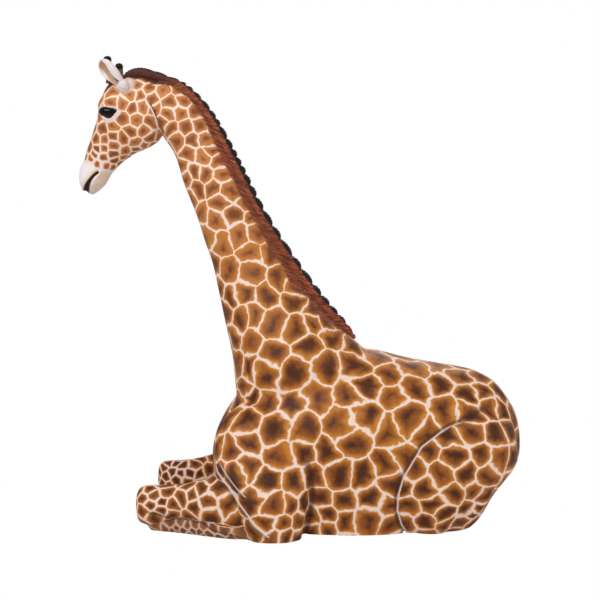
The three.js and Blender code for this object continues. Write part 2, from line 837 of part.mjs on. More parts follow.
// Tail and its tuft, in relief on the right haunch
const tail = tubeAlong(
  tailPathShares.map(onTrunk),
  (t) => (tailThickness / 2) * (1 - tailTaperShare * t),
  tubeSides,
  12,
);
const tuft = tubeAlong(
  tuftPathShares.map(onTrunk),
  (t) => (tuftThickness / 2) * THREE.MathUtils.lerp(tuftEndShare, 1, Math.sin(Math.PI * t)),
  limbSides,
  8,
);
addPiece('tail', cutBy(solidOf(tail), torso, haunchForm(1), hockForm(1), tuft), 'coat');
addPiece('tail_tuft', cutBy(solidOf(tuft), torso, haunchForm(1), hockForm(1)), 'tuft');

// The origin is the middle of the ground that the statue covers
const extent = new THREE.Box3().setFromObject(giraffe);
const middle = extent.getCenter(new THREE.Vector3());
giraffe.position.set(-middle.x, -middle.y, -extent.min.z);

export default giraffe;
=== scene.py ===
import math

import bmesh
import bpy
import numpy as np
from mathutils import Matrix, Vector
from mathutils.bvhtree import BVHTree


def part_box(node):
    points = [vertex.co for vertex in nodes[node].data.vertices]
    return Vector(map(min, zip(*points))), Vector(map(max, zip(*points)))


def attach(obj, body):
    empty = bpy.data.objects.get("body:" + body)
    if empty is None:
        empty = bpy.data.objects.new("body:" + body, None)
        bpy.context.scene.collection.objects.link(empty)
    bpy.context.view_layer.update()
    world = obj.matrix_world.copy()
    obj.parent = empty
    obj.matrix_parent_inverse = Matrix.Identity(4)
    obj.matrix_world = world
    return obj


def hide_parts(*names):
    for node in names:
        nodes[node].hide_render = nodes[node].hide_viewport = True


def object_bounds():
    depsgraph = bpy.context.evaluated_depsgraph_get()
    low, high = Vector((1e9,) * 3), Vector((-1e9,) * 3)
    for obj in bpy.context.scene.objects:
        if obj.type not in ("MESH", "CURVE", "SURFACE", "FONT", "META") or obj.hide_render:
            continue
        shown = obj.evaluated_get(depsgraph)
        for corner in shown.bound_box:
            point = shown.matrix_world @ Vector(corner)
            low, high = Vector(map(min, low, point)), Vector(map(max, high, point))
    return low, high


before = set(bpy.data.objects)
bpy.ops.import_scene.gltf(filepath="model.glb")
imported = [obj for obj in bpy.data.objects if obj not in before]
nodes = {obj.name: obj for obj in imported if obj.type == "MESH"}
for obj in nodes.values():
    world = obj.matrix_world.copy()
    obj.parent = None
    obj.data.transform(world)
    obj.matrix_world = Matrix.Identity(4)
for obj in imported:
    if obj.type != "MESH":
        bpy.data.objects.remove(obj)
packed_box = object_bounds()

# Sizes of the casting, in metres
TORSO_LENGTH, TORSO_HEIGHT, TORSO_WIDTH = 0.796, 0.434, 0.410
NECK_REACH, NECK_RISE, NECK_ROOT_WIDTH = 0.498, 0.682, 0.300
HEAD_REACH, HEAD_DROP, HEAD_WIDTH = 0.229, 0.296, 0.124
HEAD_TURN = math.radians(-15)
HAUNCH_LENGTH, HAUNCH_HEIGHT, HAUNCH_SPREAD = 0.300, 0.292, 0.218
HOCK_THICKNESS = 0.062
ARM_LENGTH, ARM_HEIGHT, ELBOW_SPREAD, KNEE_SPREAD = 0.260, 0.300, 0.249, 0.141
FOREARM_LENGTH, FOREARM_HEIGHT, FOREARM_THICKNESS = 0.330, 0.134, 0.088
CANNON_LENGTH, CANNON_HEIGHT, CANNON_THICKNESS = 0.270, 0.054, 0.064
MANE_HEIGHT, MANE_THICKNESS = 0.021, 0.040
EAR_LENGTH, EAR_WIDTH, EAR_THICKNESS, EAR_WALL = 0.090, 0.050, 0.027, 0.005
HORN_LENGTH, HORN_RADIUS, HORN_SPACING = 0.069, 0.0118, 0.062
TAIL_THICKNESS, TUFT_THICKNESS = 0.024, 0.046

# How fine the skin is carved
SKIN_GRAIN = 0.0036

# Each table holds shares of its form's sizes, ring by ring
# Along the trunk: place, back, widest height, keel, width
TORSO_ROWS = [
    (0.004, 0.43, 0.35, 0.27, 0.17),
    (0.02, 0.53, 0.34, 0.14, 0.41),
    (0.055, 0.65, 0.34, -0.02, 0.58),
    (0.105, 0.76, 0.36, -0.12, 0.71),
    (0.186, 0.87, 0.38, -0.22, 0.83),
    (0.3, 0.95, 0.39, -0.34, 0.92),
    (0.43, 0.99, 0.39, -0.37, 0.97),
    (0.53, 0.98, 0.4, -0.25, 0.99),
    (0.63, 0.935, 0.41, -0.12, 0.99),
    (0.74, 0.9, 0.42, -0.12, 0.975),
    (0.825, 0.872, 0.43, -0.02, 0.92),
    (0.872, 0.842, 0.44, 0.12, 0.85),
    (0.916, 0.79, 0.45, 0.215, 0.74),
    (0.954, 0.7, 0.46, 0.28, 0.55),
    (0.975, 0.63, 0.46, 0.34, 0.37),
    (0.985, 0.55, 0.46, 0.4, 0.17),
]
# Up the neck: reach and rise of the throat, then of the nape, width
NECK_ROWS = [
    (0.6, -0.25, -0.13, -0.07, 0.93),
    (0.612, -0.13, -0.045, 0.0, 0.97),
    (0.63, -0.02, 0.048, 0.062, 0.86),
    (0.655, 0.061, 0.13, 0.122, 0.73),
    (0.68, 0.145, 0.214, 0.197, 0.61),
    (0.704, 0.229, 0.292, 0.274, 0.515),
    (0.73, 0.313, 0.368, 0.36, 0.445),
    (0.768, 0.393, 0.441, 0.446, 0.4),
    (0.804, 0.477, 0.507, 0.524, 0.365),
    (0.846, 0.557, 0.561, 0.606, 0.34),
    (0.883, 0.625, 0.608, 0.675, 0.32),
    (0.909, 0.69, 0.655, 0.74, 0.305),
    (0.937, 0.743, 0.72, 0.827, 0.3),
    (0.977, 0.785, 0.794, 0.915, 0.3),
    (1.018, 0.831, 0.9, 0.995, 0.28),
    (1.05, 0.865, 1.0, 1.018, 0.24),
]
# Down the head: reach and drop of the face, then of the jaw, width
HEAD_ROWS = [
    (-0.12, 0.07, -0.13, 0.36, 0.5),
    (0.06, 0.035, -0.045, 0.43, 0.62),
    (0.2, -0.005, 0.025, 0.552, 0.78),
    (0.39, -0.015, 0.131, 0.605, 0.92),
    (0.535, 0.01, 0.237, 0.636, 1),
    (0.612, 0.065, 0.331, 0.659, 1),
    (0.672, 0.156, 0.412, 0.691, 0.97),
    (0.712, 0.24, 0.488, 0.729, 0.86),
    (0.738, 0.325, 0.55, 0.77, 0.76),
    (0.807, 0.467, 0.605, 0.81, 0.66),
    (0.875, 0.589, 0.64, 0.843, 0.6),
    (0.924, 0.696, 0.672, 0.877, 0.57),
    (0.985, 0.793, 0.705, 0.921, 0.57),
    (0.992, 0.9, 0.78, 0.97, 0.5),
    (0.955, 0.985, 0.86, 1.012, 0.26),
]
# Along the haunch: place, top, bottom, spread
HAUNCH_ROWS = [
    (0.0, 0.34, 0.14, 0.72),
    (0.02, 0.5, 0.05, 0.8),
    (0.08, 0.67, -0.01, 0.88),
    (0.2, 0.82, -0.045, 0.95),
    (0.34, 0.91, -0.035, 0.99),
    (0.48, 0.965, 0.05, 1),
    (0.6, 0.99, 0.16, 0.985),
    (0.72, 0.985, 0.27, 0.945),
    (0.84, 0.93, 0.37, 0.87),
    (0.94, 0.84, 0.45, 0.76),
    (1, 0.74, 0.52, 0.62),
]
# The hock's two ends on the haunch: along, out, up; then place and thickness between them
HOCK_ENDS = [(0.483, 0.725, 0.117), (0.748, 0.725, 0.422)]
HOCK_ROWS = [(0, 0.3), (0.1, 0.72), (0.35, 1), (0.7, 0.96), (0.92, 0.66), (1, 0.28)]
# Up the arm: height, front, rear, spread
ARM_ROWS = [
    (-0.1, 0.372, 0.892, 0.94),
    (0.0, 0.362, 0.902, 0.985),
    (0.1, 0.332, 0.932, 1),
    (0.22, 0.252, 0.957, 0.985),
    (0.36, 0.162, 0.977, 0.93),
    (0.5, 0.092, 0.972, 0.86),
    (0.64, 0.082, 0.942, 0.79),
    (0.78, 0.112, 0.892, 0.73),
    (0.9, 0.182, 0.792, 0.64),
    (1, 0.312, 0.612, 0.5),
]
# Along a shank from the knee: place, top, bottom, thickness, splay
FOREARM_ROWS = [
    (0.0, 0.63, 0.36, 0.24, 0.0),
    (0.015, 0.72, 0.2, 0.56, 0.0),
    (0.045, 0.78, 0.13, 0.78, 0.0),
    (0.12, 0.8, 0.1, 0.9, 0.0),
    (0.2, 0.8, 0.16, 0.9, 0.02),
    (0.32, 0.83, 0.22, 0.88, 0.08),
    (0.46, 0.91, 0.19, 0.9, 0.18),
    (0.62, 1.01, 0.09, 0.96, 0.3),
    (0.8, 1.07, 0.03, 1, 0.4),
    (1, 0.95, 0.12, 0.84, 0.45),
]
CANNON_ROWS = [
    (0.0, 0.72, 0.3, 0.4, -0.08),
    (0.04, 0.95, -0.02, 0.8, -0.08),
    (0.14, 1.1, -0.14, 1, -0.08),
    (0.3, 1.12, -0.18, 1, 0.02),
    (0.5, 1, -0.2, 1.02, 0.19),
    (0.75, 0.85, -0.2, 1.05, 0.4),
    (1, 0.7, -0.1, 0.9, 0.56),
]
# Up the crest: reach and rise of its foot, height, thickness
MANE_ROWS = [
    (-0.01, 0.03, 0.2, 0.4),
    (0.055, 0.077, 0.7, 0.75),
    (0.13, 0.13, 0.95, 0.95),
    (0.214, 0.203, 1, 1),
    (0.368, 0.36, 1, 1),
    (0.507, 0.524, 1, 0.95),
    (0.608, 0.675, 0.95, 0.9),
    (0.72, 0.834, 0.85, 0.9),
    (0.8, 0.919, 0.8, 0.9),
    (0.89, 0.982, 0.75, 0.9),
    (1.0, 1.024, 0.75, 0.95),
    (1.1, 1.044, 0.75, 0.9),
    (1.17, 1.034, 0.6, 0.7),
    (1.2, 1.01, 0.25, 0.4),
]
# Up the ear: place, width, thickness
EAR_ROWS = [
    (0, 0.42, 0.62),
    (0.1, 0.56, 0.8),
    (0.22, 0.62, 0.84),
    (0.36, 0.78, 0.86),
    (0.54, 0.98, 0.92),
    (0.7, 1, 0.84),
    (0.84, 0.84, 0.6),
    (0.94, 0.54, 0.36),
    (1, 0.2, 0.16),
]
# Up the horn: place, radius
HORN_ROWS = [
    (0, 1), (0.2, 0.82), (0.5, 0.72), (0.74, 0.76), (0.84, 0.86), (0.93, 0.84), (0.985, 0.52), (1, 0.08),
]
# Places on the trunk: along, up, out
TAIL_PATH = [
    (0.94, 0.68, 0.14), (0.962, 0.57, 0.42), (0.93, 0.45, 0.78), (0.87, 0.33, 0.99), (0.82, 0.22, 1.03),
]
TUFT_PATH = [(0.825, 0.23, 1.03), (0.78, 0.14, 1.0), (0.72, 0.07, 0.95)]

# The camera stands level with the neck, and its view is 600 steps wide and high, each so wide at the middle
CAMERA = np.array([0.0144, -1.9604, 0.554])
CAMERA_LENS = 45.24
VIEW_STEP, VIEW_MIDDLE = 0.0026, 300

# Painted and carved lines, in steps across and down the view of the left flank
EYE_OUTLINE = [
    (101.4, 110.4), (103.4, 109), (107.3, 108.5), (112, 108.7), (115.2, 109.6), (117.2, 111), (115.2, 113),
    (113, 115.8), (110.5, 118), (107.3, 118.8), (104.6, 117), (102.6, 114),
]
UPPER_LID = [(102.3, 109.8), (103.8, 108.9), (107.3, 108.3), (112, 108.5), (114.8, 109.3), (116, 109.9)]
BROW = [(99.5, 105), (102, 101.5), (108, 99.5), (115, 101), (119, 105)]
TEAR_LINE = [(100, 112), (98.5, 115.5), (96.5, 120)]
MOUTH = [(97.4, 172.6), (94, 175.2), (91, 178.4), (88.6, 182), (87, 186), (86.2, 191.5)]
JAW_CREASE = [(149.5, 105), (152.5, 110.5), (155, 116.5), (156.8, 122), (157.6, 128), (157.8, 136)]
ARM_FOLD = [(214, 461), (217.5, 472), (222, 478.5), (230, 488), (240, 505), (255, 525), (268, 537)]
ARM_PLEAT = [(220, 464), (225, 473), (230, 480), (237, 489), (245, 497)]
ARM_REAR = [(304, 462), (307, 475), (309, 488), (309, 500), (306, 515), (303, 530), (302, 541)]
SHIN_LINE = [
    (148.7, 513), (158, 514), (168.5, 518), (181, 519), (191, 520), (202, 523), (214, 531), (237, 537),
    (250, 540),
]
HAUNCH_LINE = [
    (460, 423), (450, 427), (440, 433), (422, 447), (413, 462), (403.5, 478), (398, 496), (397.5, 511),
    (402, 525), (408, 534),
]
FLANK_FOLD = [(458, 424), (468, 419), (483, 408)]
MANE_EDGE = [
    (100, 90), (125.7, 73.5), (133.4, 77.3), (139.8, 75.4), (151, 82.4), (171.7, 85.6), (185.5, 95.5),
    (195, 106), (203, 118.5), (210, 134), (220, 155), (226, 168), (234, 183), (241, 198), (256, 224),
    (268, 245), (283, 268), (293, 291), (308, 298), (319.5, 317.5), (331, 325), (352, 338),
]
# Where the locks of the mane end on its rim, from the poll down
LOCK_ENDS = [
    (154.5, 72), (169, 76), (180, 83), (186, 87), (192, 93), (200.5, 100), (207.5, 111.5), (213, 120),
    (218.5, 126.5), (225, 139), (231, 149), (236.5, 157), (240, 165), (244, 174), (250, 184.5), (255, 197),
    (263.3, 209.4), (272, 225.6), (279.4, 239.4), (290.6, 256.7), (299.4, 270), (311.7, 284), (322, 294.4),
    (330.6, 304.4), (337.2, 315), (344.4, 325.6), (352, 334.4),
]
EAR_ROOT_RING = (124.5, 82.5)
LIP_DIMPLE = (96.7, 186.7)
# Here the mane comes over the poll
POLL_MARK = (186, 87)

# Middles of the coat's patches as the painter set them out on the side that faces the camera
PATCHES = [
    # Breast and near upper arm
    (273, 351), (306, 345), (237.5, 364), (248.5, 367), (264, 376), (293, 373), (329, 366), (355, 363),
    (243.5, 387), (252, 398), (266.5, 402), (290, 402), (319, 398), (347, 395), (238, 405), (227, 421),
    (242, 422), (273, 430), (306, 426), (336, 423), (217.5, 448), (229, 449), (246.5, 441), (277, 456),
    (303.5, 454), (327, 452), (352, 444), (251.5, 468), (233, 475), (268, 481), (294, 484), (313.5, 477),
    (339, 477), (219, 473), (254, 505), (273.5, 505), (292, 506), (305, 504), (318.5, 498), (343, 500),
    (265.5, 525.5), (282, 526), (298.5, 522), (272, 538.5), (284.5, 537.5), (298, 538), (312.5, 517),
    (327.5, 516), (346, 523), (312.5, 529), (326.5, 529), (217, 487), (226, 507), (239, 521.5),
    (225, 525.5), (209, 514), (255, 533), (236, 533),
    # Flank and rump
    (380, 357), (412, 366.5), (439, 366), (390, 376.5), (441, 383), (461.5, 376.5), (366.5, 386),
    (416.5, 390), (390, 396), (444, 410), (469, 396), (485, 391), (482, 377), (500, 392), (371, 415),
    (408.5, 417), (387, 435), (425, 433), (470, 415), (490, 408), (503, 411), (513, 415), (405, 456),
    (363, 474), (385, 464), (392, 486), (371, 498), (390, 505), (367, 522), (389, 525),
    # Haunch and hock
    (448, 437), (471, 433), (495, 434), (511, 434), (430, 453), (457, 457), (481, 453), (502, 459),
    (513, 457), (416, 471), (440, 475), (466, 474), (486, 475), (406, 489), (422.5, 490), (453.5, 494),
    (474.5, 493), (410, 506), (433, 505), (467, 509), (445, 516), (408, 523), (424.5, 523), (443, 526),
    (463, 520), (484, 497), (480, 510), (474, 516),
    # Foot of the neck
    (215.5, 220), (202, 211), (235, 213), (245, 205), (250, 218), (207.5, 237), (223, 246), (239, 233.5),
    (256, 232), (252, 252), (269, 254), (229.5, 271), (215.5, 264), (252, 271.5), (279, 279), (230, 297),
    (220, 290), (245, 293.5), (267, 298), (296, 302), (294, 285), (240, 319), (254, 315), (273.5, 325),
    (297.5, 327), (314, 323), (314.5, 311), (323, 321), (236, 339), (250, 341), (336, 338), (226, 312),
    (353, 347),
    # Neck
    (163, 90.5), (159, 81), (168.5, 100.5), (180, 91), (184, 100.5), (166.5, 113.5), (181.5, 113),
    (194, 111), (161.5, 122.5), (171.5, 127.5), (186.5, 127.5), (201, 126), (177, 141), (191.5, 141),
    (206, 140), (187, 154), (211.5, 150), (204, 157), (218, 161), (182.5, 165), (194.5, 171),
    (205.5, 174.5), (221, 175), (187, 178), (197, 188.5), (212.5, 188), (230.5, 192), (192, 197), (218, 202),
    # Head
    (136, 84), (144, 79), (149.5, 88.5), (130.5, 96), (140, 95.5), (152, 98.5), (111.5, 101.5),
    (123.5, 104.5), (132.5, 108.5), (142, 107), (155.5, 110), (122.5, 118), (136, 120.5), (150.5, 122.5),
    (112.5, 127), (103.5, 129.5), (131, 132), (144, 131.5), (151.5, 138), (112.5, 136), (104, 140),
    (96.5, 140), (123, 139.5), (135.5, 143), (114, 146), (103.5, 148.5), (97, 149.5), (113.5, 154),
    (126, 151.5), (102.5, 157.5), (95, 154.5), (90.5, 159), (115.5, 160.5), (97, 164.5), (106.5, 166.5),
    (134, 153), (93.5, 131), (99.5, 101), (113, 91), (145, 146), (89, 148),
    # Near foreleg
    (143.5, 498.5), (154, 496.5), (148, 489), (143, 510), (150, 505.5), (161.5, 502.5), (166, 493),
    (160.5, 510), (155, 515.5), (172, 504), (180.5, 497), (192.5, 494), (174, 514), (186, 517), (195, 507),
    (206.5, 501.5), (201.5, 488), (187, 486),
    # Far foreleg
    (164, 468), (169, 463), (176, 463.5), (183, 465), (194, 464), (203, 458.5), (165.5, 476), (172, 472),
    (181, 473.5), (189.5, 474), (200, 474), (208, 468.5), (176.5, 480), (187, 480), (211, 457), (214, 478),
]

# The breast is where the trunk's first ring starts
BREAST_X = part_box("torso_shell")[0].x - TORSO_ROWS[0][0] * TORSO_LENGTH
WITHERS = np.array([BREAST_X + 0.457 * TORSO_LENGTH, 0.0, TORSO_HEIGHT])
HAUNCH_FRONT = BREAST_X + 0.947 * TORSO_LENGTH - HAUNCH_LENGTH
KNEE_X = BREAST_X - 0.21 * TORSO_LENGTH
AXIS_X, AXIS_Y, AXIS_Z = np.eye(3)
SIDES = {"left": -1, "right": 1}


def unit(v):
    return v / np.linalg.norm(v, axis=-1, keepdims=True)


def bump(distance, width):
    return np.exp(-((distance / width) ** 2))


def ramp(value, low, high):
    t = np.clip((value - low) / (high - low), 0, 1)
    return t * t * (3 - 2 * t)


def blend_rows(rows, steps=6):
    """Rows on a smooth curve through the rows of a table."""
    table = np.array(rows, float)
    here, ahead = table[:-1], table[1:]
    before = np.vstack([table[:1], table[:-2]])
    after = np.vstack([table[2:], table[-1:]])
    slope_here, slope_ahead = (ahead - before) / 2, (after - here) / 2
    bend = 3 * (ahead - here) - 2 * slope_here - slope_ahead
    turn = 2 * (here - ahead) + slope_here + slope_ahead
    made = [here + t * (slope_here + t * (bend + t * turn)) for t in np.arange(steps) / steps]
    return np.vstack([np.stack(made, 1).reshape(-1, table.shape[1]), table[-1:]])


def oval(centre, up, side, above, below, half, powers, sides):
    """One ring round a centre, fuller than an ellipse as its powers rise above two."""
    angle = 2 * np.pi * np.arange(sides) / sides
    c, s = np.cos(angle), np.sin(angle)
    power = np.where(s > 0, powers[0], powers[1])
    across = np.sign(c) * np.abs(c) ** (2 / power) * half
    along = np.sign(s) * np.abs(s) ** (2 / power) * np.where(s > 0, above, below)
    return centre + across[:, None] * side + along[:, None] * up


def even_oval(centre, up, side, high, half, power, sides):
    return oval(centre, up, side, high, high, half, (power, power), sides)


def as_object(name, bm):
    mesh = bpy.data.meshes.new(name)
    bm.to_mesh(mesh)
    bm.free()
    thing = bpy.data.objects.new(name, mesh)
    bpy.context.scene.collection.objects.link(thing)
    return thing


def sleeve(name, rings):
    """A closed skin laid over rings of points, as a mesh object."""
    rings = np.array(rings, float)
    rows, sides = rings.shape[:2]
    bm = bmesh.new()
    bmesh.ops.create_grid(bm, x_segments=rows - 1, y_segments=sides, size=1)
    for v in bm.verts:
        row = round((v.co.x + 1) / 2 * (rows - 1))
        place = round((v.co.y + 1) / 2 * sides) % sides
        v.co = rings[row, place]
    bmesh.ops.remove_doubles(bm, verts=bm.verts, dist=1e-6)
    bmesh.ops.holes_fill(bm, edges=[e for e in bm.edges if e.is_boundary], sides=0)
    bmesh.ops.recalc_face_normals(bm, faces=bm.faces)
    return as_object(name, bm)


def between(front, back, half, power):
    """A ring whose middle line runs from a front place to a back one."""
    reach = back - front
    length = np.linalg.norm(reach)
    return even_oval((front + back) / 2, reach / length, AXIS_Y, length / 2, half, power, 64)


def from_withers(reach, rise):
    return np.array([WITHERS[0] - reach * NECK_REACH, 0, WITHERS[2] + rise * NECK_RISE])


POLL = from_withers(1.008, 1.029)
HEAD_PLACE = Matrix.Translation(POLL) @ Matrix.Rotation(HEAD_TURN, 4, "Z")
HEAD_AXES = np.array([
    [math.cos(HEAD_TURN), -math.sin(HEAD_TURN), 0],
    [math.sin(HEAD_TURN), math.cos(HEAD_TURN), 0],
    [0, 0, 1],
])


def on_head(points):
    """Points given from the poll, turned aside with the head."""
    return np.asarray(points) @ HEAD_AXES.T + POLL


def head_places(points):
    """The same points from the poll, with the head turned straight."""
    return (points - POLL) @ HEAD_AXES


def trunk_skin():
    rings = []
    for along, back, widest, keel, width in blend_rows(TORSO_ROWS):
        centre = np.array([BREAST_X + along * TORSO_LENGTH, 0, widest * TORSO_HEIGHT])
        above, below = (back - widest) * TORSO_HEIGHT, (widest - keel) * TORSO_HEIGHT
        rings.append(oval(centre, AXIS_Z, AXIS_Y, above, below, width * TORSO_WIDTH / 2, (2, 2.8), 96))
    return rings


def neck_skin():
    return [
        between(from_withers(tx, tz), from_withers(nx, nz), width * NECK_ROOT_WIDTH / 2, 2.1)
        for tx, tz, nx, nz, width in blend_rows(NECK_ROWS)
    ]


def head_skin():
    rings = []
    for fx, fz, jx, jz, width in blend_rows(HEAD_ROWS):
        jaw = np.array([-jx * HEAD_REACH, 0, -jz * HEAD_DROP])
        face = np.array([-fx * HEAD_REACH, 0, -fz * HEAD_DROP])
        rings.append(on_head(between(jaw, face, width * HEAD_WIDTH / 2, 2.3)))
    return rings


def haunch_skin(side):
    rings, inner = [], HAUNCH_SPREAD / 3
    for along, top, bottom, spread in blend_rows(HAUNCH_ROWS):
        outer, half = spread * HAUNCH_SPREAD, (top - bottom) / 2 * HAUNCH_HEIGHT
        x, z = HAUNCH_FRONT + along * HAUNCH_LENGTH, (top + bottom) / 2 * HAUNCH_HEIGHT
        centre = np.array([x, side * (outer + inner) / 2, z])
        rings.append(even_oval(centre, AXIS_Z, AXIS_Y, half, (outer - inner) / 2, 2.2, 64))
    return rings


def hock_skin(side):
    start, end = [
        np.array([HAUNCH_FRONT + along * HAUNCH_LENGTH, side * out * HAUNCH_SPREAD, up * HAUNCH_HEIGHT])
        for along, out, up in HOCK_ENDS
    ]
    forward = unit(end - start)
    up = np.array([-forward[2], 0, forward[0]])
    rings = []
    for along, thickness in blend_rows(HOCK_ROWS):
        half = thickness * HOCK_THICKNESS / 2
        rings.append(even_oval(start + (end - start) * along, up, AXIS_Y, half, half, 2.2, 40))
    return rings


def upper_arm_skin(side):
    rings, inner = [], ELBOW_SPREAD / 3
    for rise, front, rear, spread in blend_rows(ARM_ROWS):
        outer, half = spread * ELBOW_SPREAD, (rear - front) / 2 * ARM_LENGTH
        x, z = BREAST_X + (front + rear) / 2 * ARM_LENGTH, rise * ARM_HEIGHT
        centre = np.array([x, side * (outer + inner) / 2, z])
        rings.append(even_oval(centre, AXIS_X, AXIS_Y, half, (outer - inner) / 2, 2.6, 64))
    return rings


def shank_skin(side, rows, start, length, height, thickness):
    rings = []
    for along, top, bottom, thick, splay in blend_rows(rows):
        y = side * (KNEE_SPREAD + (ELBOW_SPREAD - KNEE_SPREAD) * splay)
        centre = np.array([start + along * length, y, (top + bottom) / 2 * height])
        high = (top - bottom) / 2 * height
        rings.append(even_oval(centre, AXIS_Z, AXIS_Y, high, thick * thickness / 2, 2.2, 48))
    return rings


# The castings that share one coat, each with the rings of its whole form
CASTINGS = {"torso_shell": trunk_skin(), "neck_shell": neck_skin(), "head_shell": head_skin()}
for flank, side in SIDES.items():
    CASTINGS[f"haunch_{flank}"] = haunch_skin(side)
    CASTINGS[f"hock_{flank}"] = hock_skin(side)
    CASTINGS[f"upper_arm_{flank}"] = upper_arm_skin(side)
    CASTINGS[f"forearm_{flank}"] = shank_skin(
        side, FOREARM_ROWS, KNEE_X, FOREARM_LENGTH, FOREARM_HEIGHT, FOREARM_THICKNESS,
    )
    CASTINGS[f"cannon_{flank}"] = shank_skin(
        side, CANNON_ROWS, KNEE_X + 0.07 * FOREARM_LENGTH, CANNON_LENGTH, CANNON_HEIGHT, CANNON_THICKNESS,
    )
CASTING_NAMES = list(CASTINGS)
CASTING_KINDS = np.array([name.split("_")[0] for name in CASTING_NAMES])


def with_modifier(thing, kind, **settings):
    """The object, with a modifier worked into its mesh."""
    modifier = thing.modifiers.new(kind.lower(), kind)
    for key, value in settings.items():
        setattr(modifier, key, value)
    graph = bpy.context.evaluated_depsgraph_get()
    old, thing.data = thing.data, bpy.data.meshes.new_from_object(thing.evaluated_get(graph))
    thing.modifiers.clear()
    bpy.data.meshes.remove(old)
    return thing


def joined(name, things):
    bm = bmesh.new()
    for thing in things:
        bm.from_mesh(thing.data)
    whole = as_object(name, bm)
    for thing in things:
        bpy.data.objects.remove(thing)
    return whole


def remeshed(thing, grain, passes):
    with_modifier(thing, "REMESH", mode="VOXEL", voxel_size=grain)
    return with_modifier(thing, "SMOOTH", iterations=passes, factor=0.5)


def read(items, name, width=1, kind=float):
    """A value, or a row of values, of each point, edge, corner or face."""
    flat = np.empty(len(items) * width, kind)
    items.foreach_get(name, flat)
    return flat.reshape(-1, width) if width > 1 else flat


def coordinates(mesh):
    return read(mesh.vertices, "co", 3)


def normals_of(mesh):
    return read(mesh.vertex_normals, "vector", 3)


def edges_of(mesh):
    return read(mesh.edges, "vertices", 2, np.int64)


def corners_of(mesh):
    """The point of each corner, each face's first corner, and how many corners each face has."""
    starts = read(mesh.polygons, "loop_start", kind=np.int64)
    corner = read(mesh.loops, "vertex_index", kind=np.int64)
    return corner, starts, np.diff(np.append(starts, len(corner)))


def kinds_at(mesh):
    """The kind of casting at each point of the skin."""
    corner, _, per_face = corners_of(mesh)
    owner = np.zeros(len(mesh.vertices), int)
    owner[corner] = np.repeat(read(mesh.attributes["casting"].data, "value", kind=np.int32), per_face)
    return CASTING_KINDS[owner]


def move_points(mesh, places):
    mesh.vertices.foreach_set("co", places.ravel())
    mesh.update()


def hang(mesh, name, values, domain="POINT"):
    """Writes one number for each point or corner of a mesh."""
    attribute = mesh.attributes.new(name, "FLOAT", domain)
    attribute.data.foreach_set("value", np.ascontiguousarray(values, np.float32))


def evened(values, edges, passes):
    """Values at the points, shared out along the edges that many times."""
    count = len(values)
    ends = np.concatenate([edges[:, 0], edges[:, 1]])
    others = np.concatenate([edges[:, 1], edges[:, 0]])
    degree = np.bincount(ends, minlength=count)[:, None]
    values = np.array(values, float).reshape(count, -1)
    for _ in range(passes):
        around = [np.bincount(ends, values[others, k], count) for k in range(values.shape[1])]
        values = (values + np.stack(around, 1) / degree) / 2
    return values


def line_distance(points, line):
    """Distance in the view from points to a drawn line, up to nine steps."""
    line = np.array(line, float)
    best = np.full(len(points), 9.0)
    for a, b in zip(line[:-1], line[1:]):
        ab = b - a
        t = np.clip((points - a) @ ab / max(ab @ ab, 1e-12), 0, 1)
        best = np.minimum(best, np.linalg.norm(points - a - t[:, None] * ab, axis=1))
    return best


def outline_distance(places, outline):
    """Distance outside a closed outline, negative inside it."""
    loop = np.array([*outline, outline[0]])
    inside = np.zeros(len(places), bool)
    for a, b in zip(loop[:-1], loop[1:]):
        crosses = (a[1] > places[:, 1]) != (b[1] > places[:, 1])
        at = a[0] + (places[:, 1] - a[1]) * (b[0] - a[0]) / (b[1] - a[1] + 1e-9)
        inside ^= crosses & (places[:, 0] < at)
    distance = line_distance(places, loop)
    return np.where(inside, -distance, distance)


def side_of(points, line):
    """Distance from a drawn line, negative on its right hand, and a share that fades past its ends."""
    line = np.array(line, float)
    side = np.full(len(points), np.inf)
    past = np.zeros(len(points))
    for k, (a, b) in enumerate(zip(line[:-1], line[1:])):
        length = np.linalg.norm(b - a)
        way = (b - a) / length
        along = (points - a) @ way
        across = (points - a) @ [-way[1], way[0]]
        off = np.hypot(across, along - np.clip(along, 0, length))
        closer = off < np.abs(side)
        side = np.where(closer, np.copysign(off, across), side)
        beyond = np.maximum(-along if k == 0 else 0, along - length if k == len(line) - 2 else 0)
        past = np.where(closer, beyond, past)
    return np.clip(side, -12, 12), 1 - ramp(past, 0, 2.5)


def in_view(places):
    """Where the camera sees places: steps across and down its view."""
    share = CAMERA[1] / (CAMERA[1] - places[:, 1])
    across = (places[:, 0] - CAMERA[0]) * share / VIEW_STEP
    down = (CAMERA[2] - places[:, 2]) * share / VIEW_STEP
    return np.stack([across, down], 1) + VIEW_MIDDLE


def left_views(places):
    """As in_view, with the right half laid over the left: for the turned head, then for the body."""
    local = head_places(places)
    local[:, 1] = -np.abs(local[:, 1])
    body = places.copy()
    body[:, 1] = -np.abs(body[:, 1])
    return in_view(on_head(local)), in_view(body)


forms = [sleeve(name, rings) for name, rings in CASTINGS.items()]
# All the whole forms in one tree, and which casting each of its faces belongs to
form_points, form_faces, form_owners = [], [], []
for number, form in enumerate(forms):
    base = len(form_points)
    form_points += [v.co.copy() for v in form.data.vertices]
    form_faces += [[base + i for i in p.vertices] for p in form.data.polygons]
    form_owners += [number] * len(form.data.polygons)
form_tree = BVHTree.FromPolygons(form_points, form_faces)
skin = remeshed(joined("skin", forms), SKIN_GRAIN, 6)
# The rows and columns of the haunch's line, and how far out the flank starts
HAUNCH_SHAPE = tuple(np.array(HAUNCH_LINE).T[::-1])
FLANK_OUT = 0.12


def behind_haunch_line(body):
    return body[:, 0] > np.interp(body[:, 1], *HAUNCH_SHAPE)


def on_flank(places):
    return ramp(np.abs(places[:, 1]), FLANK_OUT, FLANK_OUT + 0.04)


